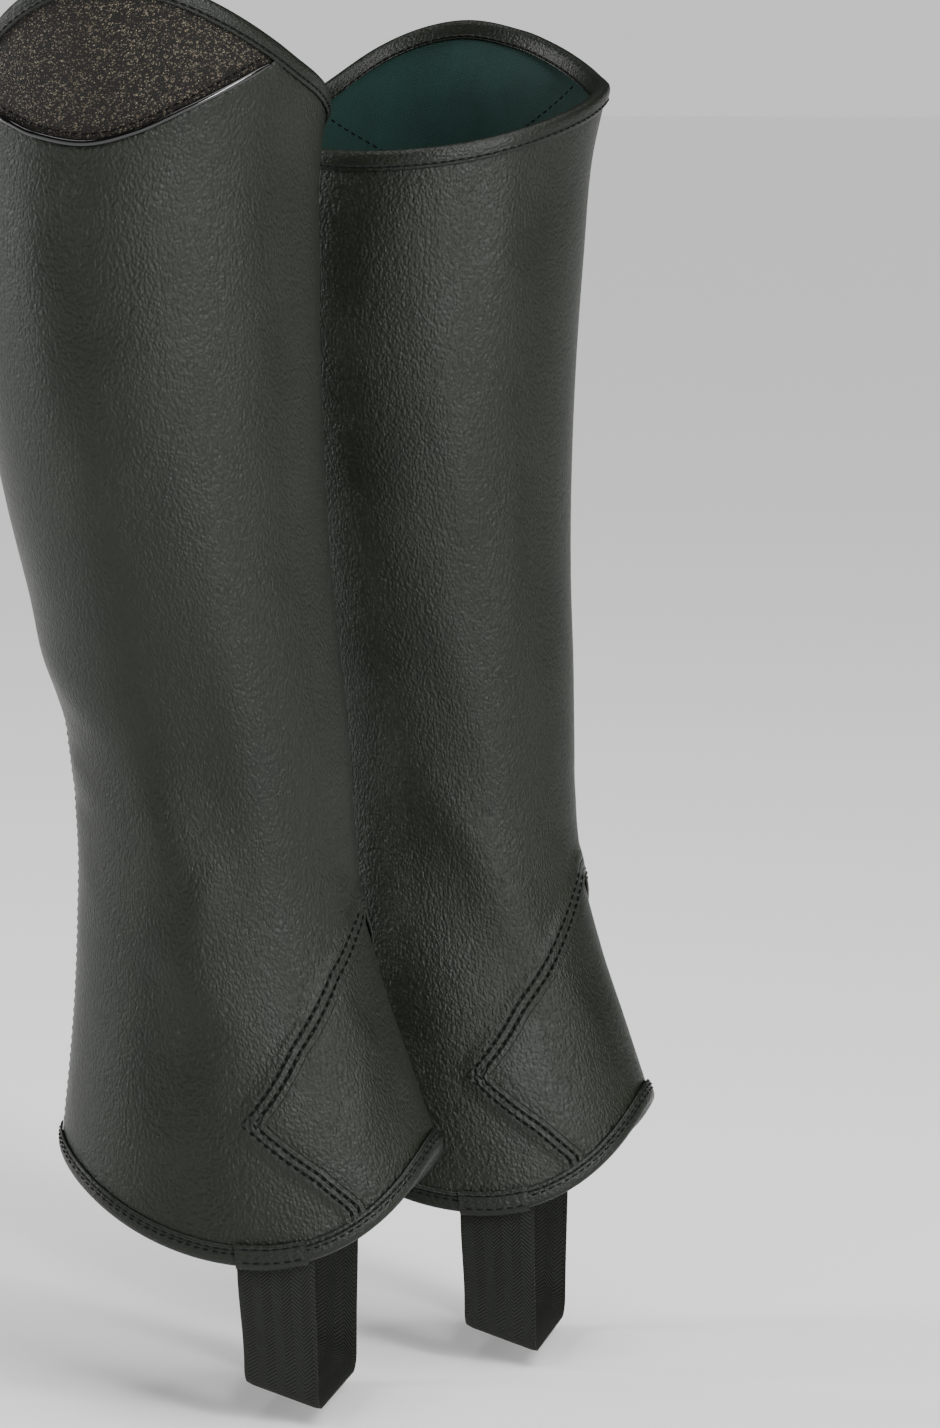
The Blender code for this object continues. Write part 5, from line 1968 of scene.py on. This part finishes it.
@dataclass
class SnapClosure:
    """The tab over the top of the zip and its press stud."""

    chap: Chap
    end: float = 134.0
    root: float = 196.0
    tab_height: float = 26.0
    thickness: float = 2.0
    corner: float = 7.0
    end_middle: float = 360.5
    root_middle: float = 352.5
    per_degree: float = math.radians(55.8)
    rim_drop: float = 0.35
    rim_reach: float = 1.2
    box_rows: tuple[float, float] = (1.4, 9.0)
    stud_angle: float = 147.0
    stud_radius: float = 6.5

    def middle(self, angle: np.ndarray) -> np.ndarray:
        """Height of the tab's middle line at each angle."""
        share = (angle - self.end) / (self.root - self.end)
        return self.end_middle + (self.root_middle - self.end_middle) * share + self.chap.form.lift(angle)

    def build_tab(self) -> None:
        """The tab with its rounded end, rounded edges and edge stitching."""
        chap, form = self.chap, self.chap.form
        ends = self.end + self.corner * (1 - np.cos(np.linspace(0, math.pi / 2, 9))) / self.per_degree
        angles = np.concatenate((ends, np.linspace(ends[-1], self.root, 26)[1:]))
        inside = np.minimum((angles - self.end) * self.per_degree / self.corner, 1.0)
        bulge = np.sqrt(np.maximum(0.0, 1.0 - (1.0 - inside) ** 2))
        half = self.tab_height / 2 - self.corner * (1.0 - bulge)
        shares = np.linspace(-1.0, 1.0, 17)
        angle = np.broadcast_to(angles[:, None], (len(angles), len(shares)))
        height = self.middle(angle) + half[:, None] * shares
        edge = np.minimum(half[:, None] * (1 - np.abs(shares)), (angle - self.end) * self.per_degree)[::-1]
        low, face = LEATHER + LAYER_GAP, LEATHER + LAYER_GAP + self.thickness
        outer = face - self.rim_drop * np.exp(-edge / self.rim_reach)
        edges = np.stack((np.full(edge.shape, FAR), np.full(edge.shape, FAR), edge), -1)
        made = shell(
            chap, chap.name("snap_tab_leather"), angle[::-1], height[::-1], low, outer, edges=edges, rounding=0.3
        )
        chap.finish_piece(made, chap.finishes.tab, Slot.LEATHER, ("snap_tab",))
        chap.name("body_wrap")
        fine = np.linspace(self.end + TAB_ROW / self.per_degree, self.root - 1.0, 60)
        reach = np.interp(fine, angles, half) - TAB_ROW
        middle = self.middle(fine)
        rows = [SeamPath(
            np.concatenate((fine[::-1], fine)), np.concatenate(((middle - reach)[::-1], middle + reach))
        )]
        upright = np.linspace(TAB_ROW - self.tab_height / 2, self.tab_height / 2 - TAB_ROW, 20)
        for back in self.box_rows:
            place = np.full(upright.shape, self.root - back)
            rows.append(SeamPath(place, upright + self.middle(place)))
        parts = MeshParts()
        for row in rows:
            Stitching().sew(parts, *surface_line(form, row, face - THREAD_LIFT))
        sewn = parts.build(chap.name("snap_tab_stitching"))
        chap.finish_piece(sewn, chap.finishes.thread, Slot.BINDING)

    def build_stud(self) -> None:
        """The press stud's cap: a domed disc with a rolled rim."""
        chap, form = self.chap, self.chap.form
        offset = LEATHER + 2 * LAYER_GAP + self.thickness
        height = float(self.middle(np.array(self.stud_angle)))
        centre = Vector(form.points(self.stud_angle, height, offset))
        axis = (Vector(form.points(self.stud_angle, height, offset + 10.0)) - centre).normalized()
        side = axis.cross(Vector((0.0, 0.0, 1.0))).normalized()
        up = side.cross(axis)
        radius = self.stud_radius
        profile = (
            (radius - 0.3, 0.0), (radius, 0.25), (radius, 0.6), (radius - 0.3, 0.9), (radius - 0.75, 0.95),
            (radius - 1.1, 0.8), (radius - 1.5, 1.0), (radius * 0.6, 1.45), (radius * 0.35, 1.75),
            (radius * 0.12, 1.88),
        )
        rings = []
        for reach, rise in profile:
            ring = []
            for turn in np.linspace(0, 2 * math.pi, 36, endpoint=False):
                spoke = side * math.cos(turn) * reach + up * math.sin(turn) * reach
                ring.append(tuple(centre + (spoke + axis * rise) * MM))
            rings.append(ring)
        parts = MeshParts()
        tube(parts, np.array(rings))
        made = parts.build(chap.name("snap_stud_cap"), sharp_over=50.0)
        chap.finish_piece(made, chap.finishes.zinc, Slot.METAL, ("snap_stud",))

    def build(self) -> None:
        """Builds and dresses the closure."""
        self.build_tab()
        self.build_stud()


@dataclass(frozen=True)
class Studio:
    """The camera at the photograph's viewing angle, a pale floor and soft light."""

    focal_px: float = 5700.0
    image_px: tuple[int, int] = (940, 1428)
    azimuth: float = -80.0
    distance: float = 1.90
    near_axis: tuple[float, float] = (-0.051, 0.0285)
    near_axis_px: float = 218.0
    horizon_px: float = 75.0
    height: float = 0.140
    floor: float = -0.3085
    floor_half: float = 60.0
    backdrop: float = 0.85
    sky: float = 0.06
    overhead: float = 2.5

    def build_camera(self) -> None:
        """Places the camera by the near leg's axis and the horizon."""
        turn = math.radians(self.azimuth)
        right = Vector((math.cos(turn), math.sin(turn), 0.0))
        forward = Vector((-math.sin(turn), math.cos(turn), 0.0))
        shift = (self.image_px[0] / 2 - self.near_axis_px) / (self.focal_px / self.distance)
        place = Vector((*self.near_axis, 0.0)) - forward * self.distance + right * shift
        place.z = self.height
        pitch = math.atan((self.image_px[1] / 2 - self.horizon_px) / self.focal_px)
        look = forward * math.cos(pitch) - Vector((0.0, 0.0, 1.0)) * math.sin(pitch)
        data = bpy.data.cameras.new("camera")
        data.sensor_width = 36.0
        data.sensor_height = 36.0
        data.sensor_fit = "AUTO"
        data.lens = self.focal_px * 36.0 / self.image_px[1]
        data.clip_end = 200.0
        camera = bpy.data.objects.new("camera", data)
        camera.location = place
        camera.rotation_euler = look.to_track_quat("-Z", "Y").to_euler()
        bpy.context.scene.collection.objects.link(camera)
        bpy.context.scene.camera = camera

    def build_floor(self) -> None:
        """A wide plain pale floor."""
        mesh = bpy.data.meshes.new("floor")
        half = self.floor_half
        corners = [(x * half, y * half, self.floor) for x, y in ((-1, -1), (1, -1), (1, 1), (-1, 1))]
        mesh.from_pydata(corners, [], [(0, 1, 2, 3)])
        floor = bpy.data.objects.new("floor", mesh)
        bpy.context.scene.collection.objects.link(floor)
        pale = bpy.data.materials.new("pale studio paper")
        pale.use_nodes = True
        matt = {"Base Color": (0.93, 0.93, 0.93, 1.0), "Roughness": 0.95, "Specular IOR Level": 0.1}
        feed(pale.node_tree, pale.node_tree.nodes["Principled BSDF"], matt)
        mesh.materials.append(pale)

    def add_softbox(
        self, name: str, place: tuple[float, float, float], size: tuple[float, float], power: float
    ) -> None:
        """A soft area light that faces the pair.

        Args:
            name: The light's name.
            place: Where it stands, in metres.
            size: Its width and height.
            power: Its power in watts.
        """
        data = bpy.data.lights.new(name, "AREA")
        data.shape = "RECTANGLE"
        data.size, data.size_y = size
        data.energy = power
        light = bpy.data.objects.new(name, data)
        light.location = place
        light.rotation_euler = (-Vector(place)).to_track_quat("-Z", "Y").to_euler()
        bpy.context.scene.collection.objects.link(light)

    def add_overhead(self) -> None:
        """A broad light from straight above, which keeps the floor pale."""
        data = bpy.data.lights.new("overhead", "SUN")
        data.energy = self.overhead
        data.angle = math.radians(50.0)
        light = bpy.data.objects.new("overhead", data)
        light.rotation_euler = (math.radians(8.0), math.radians(-6.0), 0.0)
        bpy.context.scene.collection.objects.link(light)

    def build_world(self) -> None:
        """A pale band at the horizon, for the backdrop, under a dim sky that keeps the leather dark."""
        world = bpy.data.worlds.new("pale studio")
        world.use_nodes = True
        tree = world.node_tree
        direction = add_node(tree, NodeKind.COORDINATES).outputs["Generated"]
        up = add_node(tree, NodeKind.SPLIT, {0: direction}).outputs[2]
        band = {"Value": up, "From Min": 0.03, "From Max": 0.16, "To Min": self.backdrop, "To Max": self.sky}
        strength = add_node(tree, NodeKind.RANGE, band, interpolation_type="SMOOTHSTEP").outputs["Result"]
        feed(tree, tree.nodes["Background"], {"Color": (1.0, 1.0, 1.0, 1.0), "Strength": strength})
        bpy.context.scene.world = world

    def build(self) -> None:
        """Builds the camera, floor, world and lights."""
        self.build_camera()
        self.build_floor()
        self.build_world()
        self.add_softbox("key", (-1.62, -1.62, 0.85), (0.42, 2.0), 84.0)
        self.add_softbox("heel side", (-0.35, 2.4, 0.8), (0.7, 2.0), 62.0)
        self.add_softbox("shin side", (0.5, -2.5, 0.8), (0.6, 2.0), 3.0)
        self.add_overhead()


def build_pair() -> None:
    """Builds both chaps."""
    finishes = make_finishes()
    for leg in (RIGHT, LEFT):
        chap = Chap(leg, finishes)
        Panels(chap).build()
        Trims(chap).build()
        FootStrap(chap).build()
        BackZip(chap).build()
        SnapClosure(chap).build()


def main() -> None:
    """Builds the studio and the pair."""
    logging.basicConfig(level=logging.INFO, format="%(name)s: %(message)s")
    Studio().build()
    build_pair()


if __name__ == "__main__":
    main()
